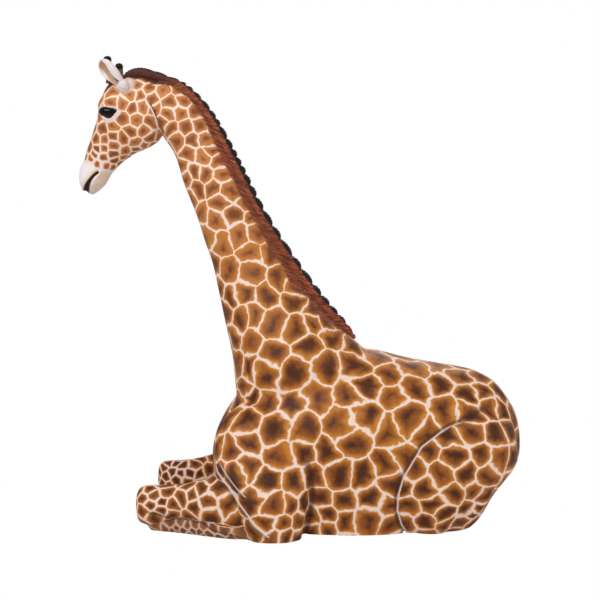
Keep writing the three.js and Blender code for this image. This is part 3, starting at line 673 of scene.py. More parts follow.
def name_faces(skin):
    """Gives each face of the skin the number of the casting that it belongs to."""
    mesh = skin.data
    places = coordinates(mesh)
    owner = np.array([form_owners[form_tree.find_nearest(Vector(p))[2]] for p in places])
    # On the flanks the haunches start at their drawn line
    body = left_views(places)[1]
    flank = (np.abs(places[:, 1]) > FLANK_OUT) & (body[:, 1] > HAUNCH_SHAPE[0][0])
    behind = flank & behind_haunch_line(body)
    left = places[:, 1] < 0
    trunk = CASTING_NAMES.index("torso_shell")
    for side, name in ((left, "haunch_left"), (~left, "haunch_right")):
        haunch = CASTING_NAMES.index(name)
        owner[side & flank & ~behind & (owner == haunch)] = trunk
        owner[side & behind & (owner == trunk)] = haunch
    shares = evened(np.eye(len(CASTING_NAMES))[owner], edges_of(mesh), 4)
    corner, starts, _ = corners_of(mesh)
    faces = np.add.reduceat(shares[corner], starts, axis=0)
    attribute = mesh.attributes.new("casting", "INT", "FACE")
    attribute.data.foreach_set("value", faces.argmax(1).astype(np.int32))


def refine(skin, number):
    """Halves the grain of one casting, for the finer carving of the head."""
    bm = bmesh.new()
    bm.from_mesh(skin.data)
    layer = bm.faces.layers.int["casting"]
    edges = {e for f in bm.faces if f[layer] == number for e in f.edges}
    bmesh.ops.subdivide_edges(bm, edges=list(edges), cuts=1, use_grid_fill=True)
    bm.to_mesh(skin.data)
    bm.free()


name_faces(skin)
refine(skin, CASTING_NAMES.index("head_shell"))


def on_face(places):
    """One on the head, and a share of it that fades at its middle line."""
    local = head_places(places)
    near = (local[:, 2] < 0.06) & (local[:, 0] < 0.03) & (local[:, 2] > -0.33)
    return near.astype(float), ramp(np.abs(local[:, 1]), 0.012, 0.03) * near


def ear_rings(view):
    """The two rings that are cut round the ear's root."""
    off = np.linalg.norm(view - EAR_ROOT_RING, axis=1)
    return bump(off - 8.2, 0.6) + bump(off - 10.2, 0.6)


def mouth_width(view):
    """The mouth line widens towards the lips."""
    return 1.25 + 1.35 * ramp(view[:, 1], 176, 190)


# Each drawn line, with its ridge and its groove: how high or deep in metres, where and how wide in the view
DRAWN = {
    "jaw": (JAW_CREASE, (0.0006, 1.6, 1.8), (0.0018, -1.4, 1.3)),
    "fold": (ARM_FOLD, (0.002, 3, 2.5), (0.004, -1.5, 2)),
    "pleat": (ARM_PLEAT, (0.002, -3, 2.5), (0.003, 1.5, 2)),
    "rear": (ARM_REAR, (0.002, 3, 3), (0.005, -2, 2.5)),
    "shin_top": (SHIN_LINE, (0, 0, 1), (0.0035, 0, 1.8)),
    "haunch": (HAUNCH_LINE, (0.004, -3, 3), (0.004, 1.8, 2.2)),
}


def carve(skin):
    """Cuts the eyes, mouth, brows and folds into the skin."""
    mesh = skin.data
    co = coordinates(mesh)
    face, flank = on_face(co)
    view, body = left_views(co)
    eye = outline_distance(view, EYE_OUTLINE)
    mouth = line_distance(view, MOUTH)
    push = flank * (0.0026 * bump(eye - 1.6, 1.3) - 0.009 * ramp(-eye, -0.2, 1.2))
    push += flank * 0.003 * bump(line_distance(view, BROW), 3)
    push -= flank * 0.0016 * bump(line_distance(view, TEAR_LINE), 1.1)
    push -= face * 0.004 * bump(mouth / mouth_width(view), 1)
    push += face * 0.0014 * bump(mouth - 3.4, 1.2)
    push -= face * 0.0016 * bump(np.linalg.norm(view - LIP_DIMPLE, axis=1), 1.6)
    push -= flank * 0.0009 * ear_rings(view)
    outer = on_flank(co)
    for name, (line, ridge, groove) in DRAWN.items():
        side, ends = side_of(view if name == "jaw" else body, line)
        ends *= flank if name == "jaw" else outer
        for sign, (height, middle, width) in ((1, ridge), (-1, groove)):
            push += sign * ends * height * bump(side - middle, width)
    push -= outer * 0.003 * bump(line_distance(body, FLANK_FOLD), 3.5)
    moved = co + push[:, None] * normals_of(mesh)
    moved[:, 0] = np.clip(moved[:, 0], packed_box[0][0] + 0.0003, packed_box[1][0] - 0.00001)
    move_points(mesh, moved)


carve(skin)


def spacing_at(places, kinds):
    """How far apart the coat's patches are round each point."""
    x, z = places[:, 0], places[:, 2]
    down = np.clip(-head_places(places)[:, 2] / HEAD_DROP, 0, 1.1)
    up_neck = np.clip((z - TORSO_HEIGHT) / NECK_RISE, 0, 1)
    along_leg = np.clip((x - KNEE_X) / FOREARM_LENGTH, 0, 1)
    trunk = np.interp(z, [0, 0.1, 0.22, 0.45], [0.055, 0.064, 0.084, 0.088])
    gaps = {
        "torso": trunk - 0.012 * ramp(x, 0.35, 0.57),
        "neck": np.interp(up_neck, [0, 0.3, 0.6, 0.8, 1], [0.082, 0.07, 0.057, 0.046, 0.036]),
        "head": np.interp(down, [0, 0.3, 0.55, 0.8, 1.1], [0.034, 0.032, 0.029, 0.02, 0.016]),
        "haunch": np.interp(z, [0, 0.06, 0.2], [0.052, 0.068, 0.074]),
        "hock": 0.045 + 0 * z,
        "upper": np.interp(z, [0, 0.1, 0.3], [0.05, 0.066, 0.082]),
        "forearm": np.interp(along_leg, [0, 0.2, 0.6, 1], [0.026, 0.034, 0.048, 0.055]),
        "cannon": 0.022 + 0 * z,
    }
    return np.select([kinds == kind for kind in gaps], list(gaps.values()))


def wavy(places, size):
    """A smooth seeded wander, so that the painted lines bend as a brush would take them."""
    rng = np.random.default_rng(3)
    shift = np.zeros_like(places)
    for length, share in ((0.11, 0.055), (0.06, 0.036), (0.03, 0.017)):
        for _ in range(4):
            way = unit(rng.normal(size=3)) * 2 * np.pi / length
            shift += np.sin(places @ way + rng.uniform(0, 6.28))[:, None] * unit(rng.normal(size=3)) * share
    return shift * size[:, None]


def nearest_seeds(points, seeds, count):
    """Numbers of the nearest seeds to each point, nearest first."""
    found = []
    size = (seeds ** 2).sum(1)
    for part in np.array_split(points, max(1, len(points) // 8000)):
        gap = size - 2 * part @ seeds.T
        if count == 1:
            found.append(gap.argmin(1)[:, None])
            continue
        some = np.argpartition(gap, count, axis=1)[:, :count]
        order = np.take_along_axis(gap, some, 1).argsort(1)
        found.append(np.take_along_axis(some, order, 1))
    return np.vstack(found)


def settle(points, weight, seeds, fixed, rounds):
    """Moves the free seeds to the middles of their patches, again and again."""
    for _ in range(rounds):
        own = nearest_seeds(points, seeds, 1)[:, 0]
        total = np.bincount(own, weight, len(seeds))[:, None]
        sums = [np.bincount(own, weight * points[:, k], len(seeds)) for k in range(points.shape[1])]
        moved = np.where(total > 0, np.stack(sums, 1) / np.maximum(total, 1e-12), seeds)
        seeds = np.vstack([seeds[:fixed], moved[fixed:]])
    return seeds


def seen_points(mesh, steps):
    """The skin's point that the camera sees at each step of its view."""
    points = []
    tree = BVHTree.FromPolygons([v.co for v in mesh.vertices], [tuple(p.vertices) for p in mesh.polygons])
    for across, down in steps:
        way = Vector(((across - VIEW_MIDDLE) * VIEW_STEP, -CAMERA[1], (VIEW_MIDDLE - down) * VIEW_STEP))
        place, _, face, _ = tree.ray_cast(Vector(CAMERA), way.normalized())
        if place is not None:
            around = mesh.polygons[face].vertices
            points.append(min(around, key=lambda i: (mesh.vertices[i].co - place).length))
    return np.array(points)


# The area of a cell of a honeycomb whose middles are one apart
COMB_CELL = 0.866


def lay_patches(skin):
    """Spreads the coat's patches over the skin and writes how far each corner is from their edges."""
    mesh = skin.data
    places, edges, kinds = coordinates(mesh), edges_of(mesh), kinds_at(mesh)
    corner, starts, per_face = corners_of(mesh)
    gap = np.exp(evened(np.log(spacing_at(places, kinds)), edges, 24))[:, 0]
    # A patch doesn't run across the haunch's line or from an arm to the shin below it
    body = left_views(places)[1]
    behind = behind_haunch_line(body) & (body[:, 0] > 390) & (np.abs(places[:, 1]) > FLANK_OUT)
    raised = np.where(behind, 0.05 * (1 - ramp(places[:, 2], 0.25, 0.29)), 0.0)
    raised += np.where(kinds == "cannon", 0.04, 0.0) + np.where(kinds == "forearm", -0.03, 0.0)
    fold = evened(raised, edges, 2)
    # The normals keep a patch from running round a thin leg
    space = np.hstack([places + wavy(places, gap), 0.014 * normals_of(mesh), fold])
    area = np.bincount(corner, np.repeat(read(mesh.polygons, "area") / per_face, per_face), len(places))
    rng = np.random.default_rng(7)
    set_out = space[seen_points(mesh, PATCHES)]
    # The painter's own patches stay, and more are spread where the camera sees none
    closest = set_out[nearest_seeds(space[:, :3], set_out[:, :3], 1)[:, 0], :3]
    bare = ramp(np.linalg.norm(space[:, :3] - closest, axis=1) / gap, 0.75, 0.95)
    weight = area / gap**2 * bare
    free = int(weight.sum() / COMB_CELL)
    first = rng.choice(len(places), free, replace=False, p=weight / weight.sum())
    sample = rng.choice(len(places), min(len(places), 60000), replace=False)
    seeds = np.vstack([set_out, space[first]])
    seeds = settle(space[sample], (area / gap**4)[sample], seeds, len(set_out), 20)
    centre = np.add.reduceat(space[corner], starts, axis=0) / per_face[:, None]
    near = nearest_seeds(centre, seeds, 5)
    at = space[corner]
    mine = seeds[np.repeat(near[:, 0], per_face)]
    mine_gap = ((at - mine) ** 2).sum(1)
    edge_distances = []
    for k in range(1, 5):
        other = seeds[np.repeat(near[:, k], per_face)]
        apart = np.linalg.norm(other - mine, axis=1)
        edge_distances.append((((at - other) ** 2).sum(1) - mine_gap) / (2 * apart))
    reach = np.zeros(len(seeds))
    np.maximum.at(reach, near[:, 0], np.maximum.reduceat(np.min(edge_distances, axis=0), starts))
    for k, values in enumerate(edge_distances[:3], 1):
        hang(mesh, f"edge_{k}", values, "CORNER")
        # Neighbours take a line's wander with opposite signs, so that it moves as one
        hang(mesh, f"turn_{k}", np.repeat(np.sign(near[:, k] - near[:, 0]), per_face), "CORNER")
    hang(mesh, "patch_reach", np.repeat(np.maximum(reach, 0.004)[near[:, 0]], per_face), "CORNER")
    hang(mesh, "patch_tint", np.repeat(rng.random(len(seeds))[near[:, 0]], per_face), "CORNER")


def above_mane_edge(co):
    """How far a place is above the lower edge of the painted mane, in steps of the view."""
    view = in_view(co * [1, 0, 1] - [0, 0.04, 0])
    edge = np.array(MANE_EDGE, float)
    slope = np.gradient(edge[:, 1], edge[:, 0])
    rise = np.interp(view[:, 0], edge[:, 0], edge[:, 1]) - view[:, 1]
    neck = (co[:, 2] > 0.38) & (np.abs(co[:, 1]) < 0.12)
    return np.where(neck, rise / np.hypot(1, np.interp(view[:, 0], edge[:, 0], slope)), -20)


# Steps along the crest, and how far its hair slants along it on the way out
CREST_STEPS, CREST_SLANT = 520, 1.15


def crest_line():
    """The mane's path from the withers to the forehead, with its row of shares and its length."""
    rows = blend_rows(MANE_ROWS, 24)
    path = np.array([from_withers(reach, rise) for reach, rise, _, _ in rows])
    length = np.r_[0, np.cumsum(np.linalg.norm(np.diff(path, axis=0), axis=1))]
    along = np.linspace(0, length[-1], CREST_STEPS + 1)
    path = np.stack([np.interp(along, length, path[:, k]) for k in range(3)], 1)
    rows = np.stack([np.interp(along, length, rows[:, k]) for k in range(4)], 1)
    forward = unit(np.gradient(path, axis=0))
    up = np.stack([-forward[:, 2], 0 * along, forward[:, 0]], 1)
    return along, path, np.where(up[:, 2:] < 0, -up, up), rows


def lock_phases(seen):
    """How far down its lock each step of the crest is, and the lock's number."""
    ends = [np.linalg.norm(seen - end, axis=1).argmin() for end in LOCK_ENDS]
    marks = np.array([len(seen) - 1, *ends, 0])
    phase, number = np.zeros(len(seen)), np.zeros(len(seen), int)
    for k, (upper, lower) in enumerate(zip(marks[:-1], marks[1:])):
        steps = np.arange(lower, upper + 1)
        phase[steps] = (upper - steps) / max(upper - lower, 1)
        number[steps] = k
    return phase, number


crest_along, crest_path, crest_up, crest_rows = crest_line()
crest_seen = in_view(crest_path)
lock_phase, lock_number = lock_phases(crest_seen)
# The mane turns smooth and dark where it comes over the poll
POLL_START = crest_along[np.linalg.norm(crest_seen - POLL_MARK, axis=1).argmin()]
POLL_END = POLL_START + 0.06


def hang_crest(mesh, co):
    """Writes where each point is on the crest: how far along, how far out, and how far down its lock."""
    nearest = nearest_seeds(co[:, ::2], crest_path[:, ::2], 1)[:, 0]
    out = ((co - crest_path[nearest]) * crest_up[nearest]).sum(1)
    hang(mesh, "crest_along", crest_along[nearest])
    hang(mesh, "crest_out", out)
    hang(mesh, "lock_phase", lock_phase[nearest])
    hang(mesh, "lock_tint", np.modf(lock_number[nearest] * 0.618)[0])
    return nearest, out


def brush_masks(skin):
    """Where the painter left the pattern: muzzle, lids, mouth, folds with their painted shade, painted shade
    on the throat, and the foot of the mane.
    """
    mesh = skin.data
    co = coordinates(mesh)
    face, flank = on_face(co)
    view, body = left_views(co)
    across, down = view.T
    eye = outline_distance(view, EYE_OUTLINE)
    lid = outline_distance(view - [0.9, 1.5], EYE_OUTLINE)
    mouth = line_distance(view, MOUTH)
    outer = on_flank(co) * ramp(np.abs(normals_of(mesh)[:, 1]), 0.3, 0.6)
    # The pale muzzle starts on a line that slants down to the chin
    pale = down - np.interp(across, [76, 82, 96, 112, 130], [157, 160, 167.5, 170.5, 171])
    before_mouth = across < np.interp(down, [170, 176, 182, 192], [99, 93, 88, 86])
    lower_lip = np.interp(down, [170, 180, 192], [98, 93, 88])
    root = np.linalg.norm(view - EAR_ROOT_RING, axis=1)
    # A spot of painted shade on the throat, beside the jaw's back edge
    throat = bump(np.hypot(across - 162, down - 133), 4) * ramp(np.abs(co[:, 1]), 0.005, 0.02)
    masks = {
        "muzzle": face * ramp(pale, -3.5, 3.5),
        "spot_gap": face * ramp(down, 146, 164) * (1 - ramp(across, 100, 114)),
        "mouth_gap": np.where(face > 0, np.minimum(mouth / mouth_width(view), 9), 9),
        "lip_side": face * np.where(before_mouth, bump(mouth, 5), 0),
        "lid": flank * (1 - ramp(np.minimum(lid, eye), 1.9, 3.6)),
        "lash": flank * bump(line_distance(view, UPPER_LID), 0.95),
        "socket": flank * (1 - ramp(eye, -0.9, 0.1)),
        "chin": face * ramp(across - lower_lip, 0, 4) * ramp(down, 168, 174),
        # Painted shade on the throat
        "throat": throat * (co[:, 2] > 0.7),
        "ear_foot": flank * (1 - ramp(root, 8, 13)),
        "ring_line": flank * ear_rings(view),
        "flank_shade": outer * bump(line_distance(body, FLANK_FOLD), 3.4),
        # The painter left the cannons in faint small patches
        "shin": evened(kinds_at(mesh) == "cannon", edges_of(mesh), 4)[:, 0],
        "mane_paint": above_mane_edge(co),
    }
    for name, (line, _, _) in DRAWN.items():
        side, ends = side_of(view if name == "jaw" else body, line)
        masks[f"{name}_side"] = side
        masks[f"{name}_share"] = ends * (flank if name == "jaw" else outer)
    for name, values in masks.items():
        hang(mesh, name, values)
    hang_crest(mesh, co)


lay_patches(skin)
brush_masks(skin)
# How far each casting's rim turns inward at its seams
SEAM_DEPTH = 0.008


def largest_island(bm):
    """The faces of the largest run of joined faces."""
    left, largest = set(bm.faces), []
    while left:
        island, front = [], [left.pop()]
        while front:
            f = front.pop()
            island.append(f)
            joined_faces = {g for e in f.edges for g in e.link_faces} & left
            left -= joined_faces
            front += joined_faces
        largest = max(largest, island, key=len)
    return set(largest)


def close_holes(bm):
    """Fills each open rim with a face of bare laminate."""
    faces = bmesh.ops.holes_fill(bm, edges=[e for e in bm.edges if e.is_boundary], sides=0)["faces"]
    for f in faces:
        f.material_index = 1
    return faces


def part_off(skin, number):
    """One casting out of the skin, closed where it meets the others and cut flat below."""
    bm = bmesh.new()
    bm.from_mesh(skin.data)
    layer = bm.faces.layers.int["casting"]
    bmesh.ops.delete(bm, geom=[f for f in bm.faces if f[layer] != number], context="FACES")
    keep = largest_island(bm)
    bmesh.ops.delete(bm, geom=[f for f in bm.faces if f not in keep], context="FACES")
    # The seam turns inward, so that the closing face lies under the skin
    grown = bmesh.ops.extrude_edge_only(bm, edges=[e for e in bm.edges if e.is_boundary])["geom"]
    out = bm.verts.layers.float_vector["skin_out"]
    for v in grown:
        if isinstance(v, bmesh.types.BMVert):
            v.co -= v[out] * SEAM_DEPTH
    bmesh.ops.triangulate(bm, faces=close_holes(bm))
    bmesh.ops.bisect_plane(
        bm, geom=[*bm.verts, *bm.edges, *bm.faces], plane_co=(0, 0, 0), plane_no=(0, 0, 1), clear_inner=True,
    )
    close_holes(bm)
    return as_object(f"{CASTING_NAMES[number]}_coat", bm)


def linear(red, green, blue):
    """A colour as the eye reads it, out of 255, as the light that it sends back."""
    def one(c):
        c /= 255
        return c / 12.92 if c <= 0.04045 else ((c + 0.055) / 1.055) ** 2.4
    return (one(red), one(green), one(blue), 1.0)


class Mask:
    """A number in a shader that adds up with others as plain numbers do."""

    def __init__(self, brush, socket):
        self.brush, self.socket = brush, socket

    def __add__(self, other):
        return self.brush.math("ADD", self, other)

    def __sub__(self, other):
        return self.brush.math("SUBTRACT", self, other)

    def __mul__(self, other):
        return self.brush.math("MULTIPLY", self, other)

    def __truediv__(self, other):
        return self.brush.math("DIVIDE", self, other)

    def __abs__(self):
        return self.brush.math("ABSOLUTE", self)


class Paint:
    """Adds shader nodes to one tree, each in its own column."""

    def __init__(self, tree):
        self.tree, self.column = tree, 0

    def add(self, kind, **settings):
        node = self.tree.nodes.new(kind)
        self.column += 1
        node.location = (self.column * 190, -(self.column % 5) * 170)
        for key, value in settings.items():
            setattr(node, key, value)
        return node

    def feed(self, socket, value):
        """Joins a socket to what is given, which can be a colour out of 255."""
        value = getattr(value, "socket", value)
        if isinstance(value, bpy.types.NodeSocket):
            self.tree.links.new(value, socket)
        elif isinstance(value, tuple) and socket.type == "RGBA":
            socket.default_value = linear(*value)
        else:
            socket.default_value = value

    def give(self, node, *values, **named):
        """Feeds a node's first sockets in order, and others by name."""
        for socket, value in zip(node.inputs, values):
            self.feed(socket, value)
        for name, value in named.items():
            self.feed(node.inputs[name.replace("_", " ")], value)

    def fill(self, node, *values, **named):
        """As give, for the node's first output."""
        self.give(node, *values, **named)
        return Mask(self, node.outputs[0])

    def group(self, tree):
        """The outputs of a node group."""
        return [Mask(self, socket) for socket in self.add("ShaderNodeGroup", node_tree=tree).outputs]

    def math(self, operation, *values):
        return self.fill(self.add("ShaderNodeMath", operation=operation), *values)

    def most(self, first, *others):
        for other in others:
            first = self.math("MAXIMUM", first, other)
        return first

    def step(self, value, low, high, to_low=0.0, to_high=1.0):
        node = self.add("ShaderNodeMapRange", interpolation_type="SMOOTHSTEP")
        return self.fill(node, value, low, high, to_low, to_high)

    def mix(self, share, first, second):
        node = self.add("ShaderNodeMix", data_type="RGBA", clamp_factor=True)
        for number, value in ((0, share), (6, first), (7, second)):
            self.feed(node.inputs[number], value)
        return node.outputs[2]

    def worn(self, name):
        return Mask(self, self.add("ShaderNodeAttribute", attribute_name=name).outputs["Fac"])

    def stroke(self, name, middle, half, soft):
        """A brushed line beside a drawn one: where its middle is, half its width and its soft edge."""
        off = abs(self.worn(f"{name}_side") - middle)
        return self.step(off, half - soft, half + soft, 1.0, 0.0) * self.worn(f"{name}_share")

    def places(self):
        return self.add("ShaderNodeTexCoord").outputs["Object"]

    def grain(self, scale, detail=2.0, roughness=0.55, stretch=None):
        places = self.places()
        if stretch:
            places = self.fill(self.add("ShaderNodeMapping"), places, Scale=stretch)
        node = self.add("ShaderNodeTexNoise")
        return self.fill(node, Vector=places, Scale=scale, Detail=detail, Roughness=roughness)

    def speckle(self, scale, detail, roughness, size):
        """Grain about zero, as wide as it is told."""
        return (self.grain(scale, detail, roughness) - 0.5) * size


def shared(name, **outputs):
    """An empty node group with named outputs, its Paint and its end."""
    group = bpy.data.node_groups.new(name, "ShaderNodeTree")
    for label, kind in outputs.items():
        group.interface.new_socket(label, in_out="OUTPUT", socket_type=f"NodeSocket{kind}")
    return group, Paint(group), group.nodes.new("NodeGroupOutput")


def patch_pattern():
    """The painted net of pale lines and the patches inside it."""
    group, brush, end = shared("patch_pattern", Colour="Color", Line="Float")
    reach = brush.worn("patch_reach")
    size = brush.math("MINIMUM", reach / 0.034, 1.0)
    wiggle = brush.speckle(40, 2, 0.5, 0.021) * size
    edges = [
        abs(brush.math("MULTIPLY_ADD", brush.worn(f"turn_{k}"), wiggle, brush.worn(f"edge_{k}")))
        for k in (1, 2, 3)
    ]
    round_off = reach * 0.15
    nearest = brush.math("SMOOTH_MIN", edges[0], edges[1], round_off)
    nearest = brush.math("SMOOTH_MIN", nearest, edges[2], round_off)
    frayed = brush.speckle(38, 3, 0.55, 0.006) * size + brush.speckle(420, 3, 0.7, 0.003) * size
    distance = nearest + frayed - brush.worn("spot_gap") * 0.0021
    width = (size * 0.0017 + 0.0018) * brush.step(brush.grain(22, 3), 0.3, 0.7, 0.62, 1.35)
    line = brush.step(distance, width * 0.45, width * 1.5, 1.0, 0.0)
    depth = distance / reach
    hollow = depth + brush.speckle(75, 5, 0.7, 0.7) + brush.speckle(30, 2, 0.55, 0.3)
    hollow += (brush.worn("patch_tint") - 0.5) * 0.34
    # The neck and head are painted fairer than the trunk
    split = brush.add("ShaderNodeSeparateXYZ")
    brush.give(split, brush.places())
    fair = brush.step(split.outputs[2], 0.25, 1.05) * 0.85
    speck = brush.grain(230, 4, 0.7)
    rim = brush.mix(brush.grain(25, 2), (188, 112, 34), (216, 146, 62))
    body = brush.mix(speck, (140, 76, 28), (176, 104, 46))
    body = brush.mix(fair, body, brush.mix(speck, (196, 118, 62), (220, 148, 88)))
    core = brush.mix(speck, (54, 24, 13), (98, 55, 34))
    core = brush.mix(fair, core, brush.mix(speck, (122, 62, 34), (164, 98, 62)))
    colour = brush.mix(brush.step(depth, 0.12, 0.5), rim, body)
    colour = brush.mix(brush.step(hollow, 0.28, 0.98), colour, core)
    colour = brush.mix(line, colour, brush.mix(brush.grain(90, 3), (238, 202, 178), (255, 236, 226)))
    brush.give(end, colour, line)
    return group


def crest_strokes():
    """Brushed hair that slants down from the mane's foot to its rim."""
    group, brush, end = shared("crest_strokes", Hair="Float")
    out = brush.worn("crest_out")
    across = brush.worn("crest_along") + out * CREST_SLANT
    places = brush.fill(brush.add("ShaderNodeCombineXYZ"), across * 330, out * 55, brush.worn("lock_tint"))
    hair = brush.add("ShaderNodeTexNoise")
    brush.give(end, brush.fill(hair, Vector=places, Scale=1.0, Detail=3.0, Distortion=0.4))
    return group


def fibres():
    """Short crossed fibres, as in bare laminate."""
    group, brush, end = shared("fibres", Fibre="Float")
    crossed = brush.most(brush.grain(40, 4, 0.7, (1, 9, 3)), brush.grain(40, 4, 0.7, (9, 1, 3)))
    brush.give(end, brush.step(crossed, 0.45, 0.75))
    return group


def painted(name):
    """A new material and its Paint."""
    material = bpy.data.materials.new(name)
    material.use_nodes = True
    return material, Paint(material.node_tree)


def lay_on(brush, colour, roughness, relief=None, **plain):
    """The colour, roughness and plain inputs of a paint, and its relief: height, strength and depth."""
    shader = brush.tree.nodes["Principled BSDF"]
    brush.give(shader, Base_Color=colour, Roughness=roughness, **plain)
    if relief:
        height, strength, depth = relief
        bent = brush.fill(brush.add("ShaderNodeBump"), Height=height, Strength=strength, Distance=depth)
        brush.give(shader, Normal=bent)


def hair_colour(brush, hair):
    """Red-brown strokes with dark gaps and a few light hairs."""
    colour = brush.mix(brush.step(hair, 0.36, 0.6), (82, 40, 28), (160, 84, 54))
    return brush.mix(brush.step(hair, 0.6, 0.74), colour, (200, 124, 80))


def over_poll(brush):
    return brush.step(brush.worn("crest_along"), POLL_START, POLL_END)


def coat_paint(pattern, strokes):
    """The patches, and over them what the painter left or added, painted shade and highlight among it, layer
    by layer.
    """
    material, brush = painted("coat_paint")
    colour, line = brush.group(pattern)
    speck = brush.grain(300, 3, 0.6)
    muzzle = brush.worn("muzzle")
    bare = brush.step(muzzle + brush.speckle(170, 4, 0.7, 1.9), 0.3, 0.72) * brush.step(muzzle, 0.0, 0.1)
    # Painted shadow beside the jaw's overlapping back edge and on the throat below it
    jaw_shadow = brush.most(brush.worn("throat") * 0.8, brush.stroke("jaw", -1.2, 0.6, 0.6))
    shade = brush.most(
        brush.stroke("haunch", 2.3, 1.7, 1.5),
        brush.stroke("rear", -3.2, 3.0, 2.4),
        brush.stroke("shin_top", 0.0, 1.0, 0.8),
        brush.worn("flank_shade"),
        brush.stroke("pleat", 2.2, 1.9, 1.0),
        brush.stroke("fold", 2.4, 1.8, 1.5) * 0.7,
    )
    # Pale strokes on the edges of the haunch and arm folds: partly the coat's pale lines, partly painted
    # highlight where the edges catch the light
    pale = brush.most(
        brush.stroke("haunch", 0.0, 0.75, 0.55),
        brush.stroke("fold", 0.0, 0.8, 0.6),
        brush.stroke("pleat", 0.0, 0.6, 0.5),
    )
    mouth_gap = brush.worn("mouth_gap")
    lip = brush.mix(brush.grain(160, 3), (26, 9, 8), (66, 26, 20))
    foot = brush.step(brush.worn("mane_paint") + brush.speckle(130, 4, 0.7, 5.0), -1.4, 1.4)
    mane = brush.mix(0.12, hair_colour(brush, brush.group(strokes)[0]), (104, 60, 42))
    mane = brush.mix(over_poll(brush) * 0.7, mane, (76, 46, 42))
    layers = [
        (brush.worn("shin") * 0.42, brush.mix(brush.grain(110, 4, 0.7), (108, 70, 50), (174, 124, 96))),
        (bare, brush.mix(speck, (232, 220, 228), (250, 243, 248))),
        (brush.worn("lip_side") * muzzle, (224, 202, 152)),
        (brush.worn("chin") * 0.9, brush.mix(brush.grain(180, 4, 0.7), (220, 180, 152), (246, 228, 208))),
        (jaw_shadow, (66, 40, 34)),
        # A pale stroke on the jaw's back edge: partly a pale line, partly painted highlight on the edge
        (brush.stroke("jaw", 0.2, 0.6, 0.5), (240, 226, 230)),
        (
            brush.worn("ear_foot") * 0.9,
            brush.mix(brush.grain(200, 3, 0.6, (1, 1, 3)), (214, 180, 160), (246, 228, 220)),
        ),
        (brush.worn("ring_line") * 0.5, (170, 140, 124)),
        (shade * 0.7, (64, 40, 34)),
        (pale * 0.85, (232, 212, 210)),
        (brush.worn("lid"), brush.mix(speck, (222, 190, 180), (246, 228, 226))),
        (brush.worn("lash"), (62, 46, 44)),
        (brush.step(mouth_gap, 1.1, 1.75, 0.7, 0.0), (150, 92, 74)),
        (brush.step(mouth_gap, 0.8, 1.25, 1.0, 0.0), lip),
        (brush.worn("socket"), (24, 16, 14)),
        (foot, mane),
    ]
    for share, over in layers:
        colour = brush.mix(share, colour, over)
    height = line * 0.5 + brush.grain(500, 3) * 0.35
    rough = brush.step(brush.grain(120, 3), 0.2, 0.8, 0.4, 0.56)
    lay_on(brush, colour, rough, (height, 0.25, 0.0012), Specular_IOR_Level=0.16)
    return material


def mane_paint(strokes):
    """Red-brown brushed locks with a near black, scale-like rim."""
    material, brush = painted("mane_paint")
    hair, = brush.group(strokes)
    out, phase, poll = brush.worn("crest_out"), brush.worn("lock_phase"), over_poll(brush)
    # The rim swells down each lock and thins towards the withers
    inner = brush.step(brush.worn("crest_along"), 0.25, 0.58, 0.0132, 0.0102)
    start = inner - brush.math("SINE", phase * math.pi) * 0.0034
    black = brush.step(out - start + (hair - 0.5) * 0.004, -0.0016, 0.0014)
    black = brush.most(black, poll * brush.step(brush.worn("crest_top"), 0.36, 0.54))
    # Painted shadow in the notch where each lock overlaps the top of the one below
    notch_shadow = brush.step(phase, 0.0, 0.12, 1.0, 0.0) * brush.step(out, 0.0, 0.01)
    colour = brush.mix(poll * 0.78, hair_colour(brush, hair), (66, 40, 38))
    colour = brush.mix(black, colour, brush.mix(brush.grain(240, 4, 0.7), (8, 7, 8), (42, 42, 48)))
    colour = brush.mix(notch_shadow * 0.85, colour, (16, 12, 12))
    rough = brush.math("MULTIPLY_ADD", black, -0.14, 0.5)
    lay_on(brush, colour, rough, (hair, 0.6, 0.0016), Specular_IOR_Level=0.14)
    return material


def ear_paint():
    """Pale outside, and a bowl with painted shade that darkens it towards the near rim."""
    material, brush = painted("ear_paint")
    speck = brush.grain(260, 4, 0.65, (1, 1, 0.4))
    bowl = brush.mix(brush.grain(120, 3), (186, 138, 100), (222, 184, 154))
    # Painted shade in the bowl under the near rim
    bowl = brush.mix(brush.step(brush.worn("ear_across"), -0.1, 0.62), bowl, (72, 36, 20))
    bowl = brush.mix(brush.step(brush.worn("ear_along"), 0.45, 0.85), bowl, (206, 164, 128))
    colour = brush.mix(brush.worn("ear_bowl"), brush.mix(speck, (220, 198, 196), (252, 244, 244)), bowl)
    colour = brush.mix(brush.worn("root_ring") * 0.3, colour, (168, 142, 128))
    lay_on(brush, colour, brush.step(speck, 0.2, 0.8, 0.42, 0.58), (speck, 0.3, 0.0008))
    return material


def horn_paint():
    """Brown brushed shafts with black tips."""
    material, brush = painted("horn_paint")
    strokes = brush.grain(90, 4, 0.65, (6, 6, 1))
    shaft = brush.mix(brush.step(strokes, 0.35, 0.65), (70, 36, 24), (156, 98, 66))
    black = brush.step(brush.worn("horn_along") + (strokes - 0.5) * 0.12, 0.7, 0.78)
    colour = brush.mix(black, shaft, brush.mix(brush.grain(220, 3), (5, 5, 6), (26, 24, 27)))
    rough = brush.math("MULTIPLY_ADD", black, -0.2, 0.5)
    lay_on(brush, colour, rough, (strokes, 0.5, 0.001), Specular_IOR_Level=0.14)
    return material


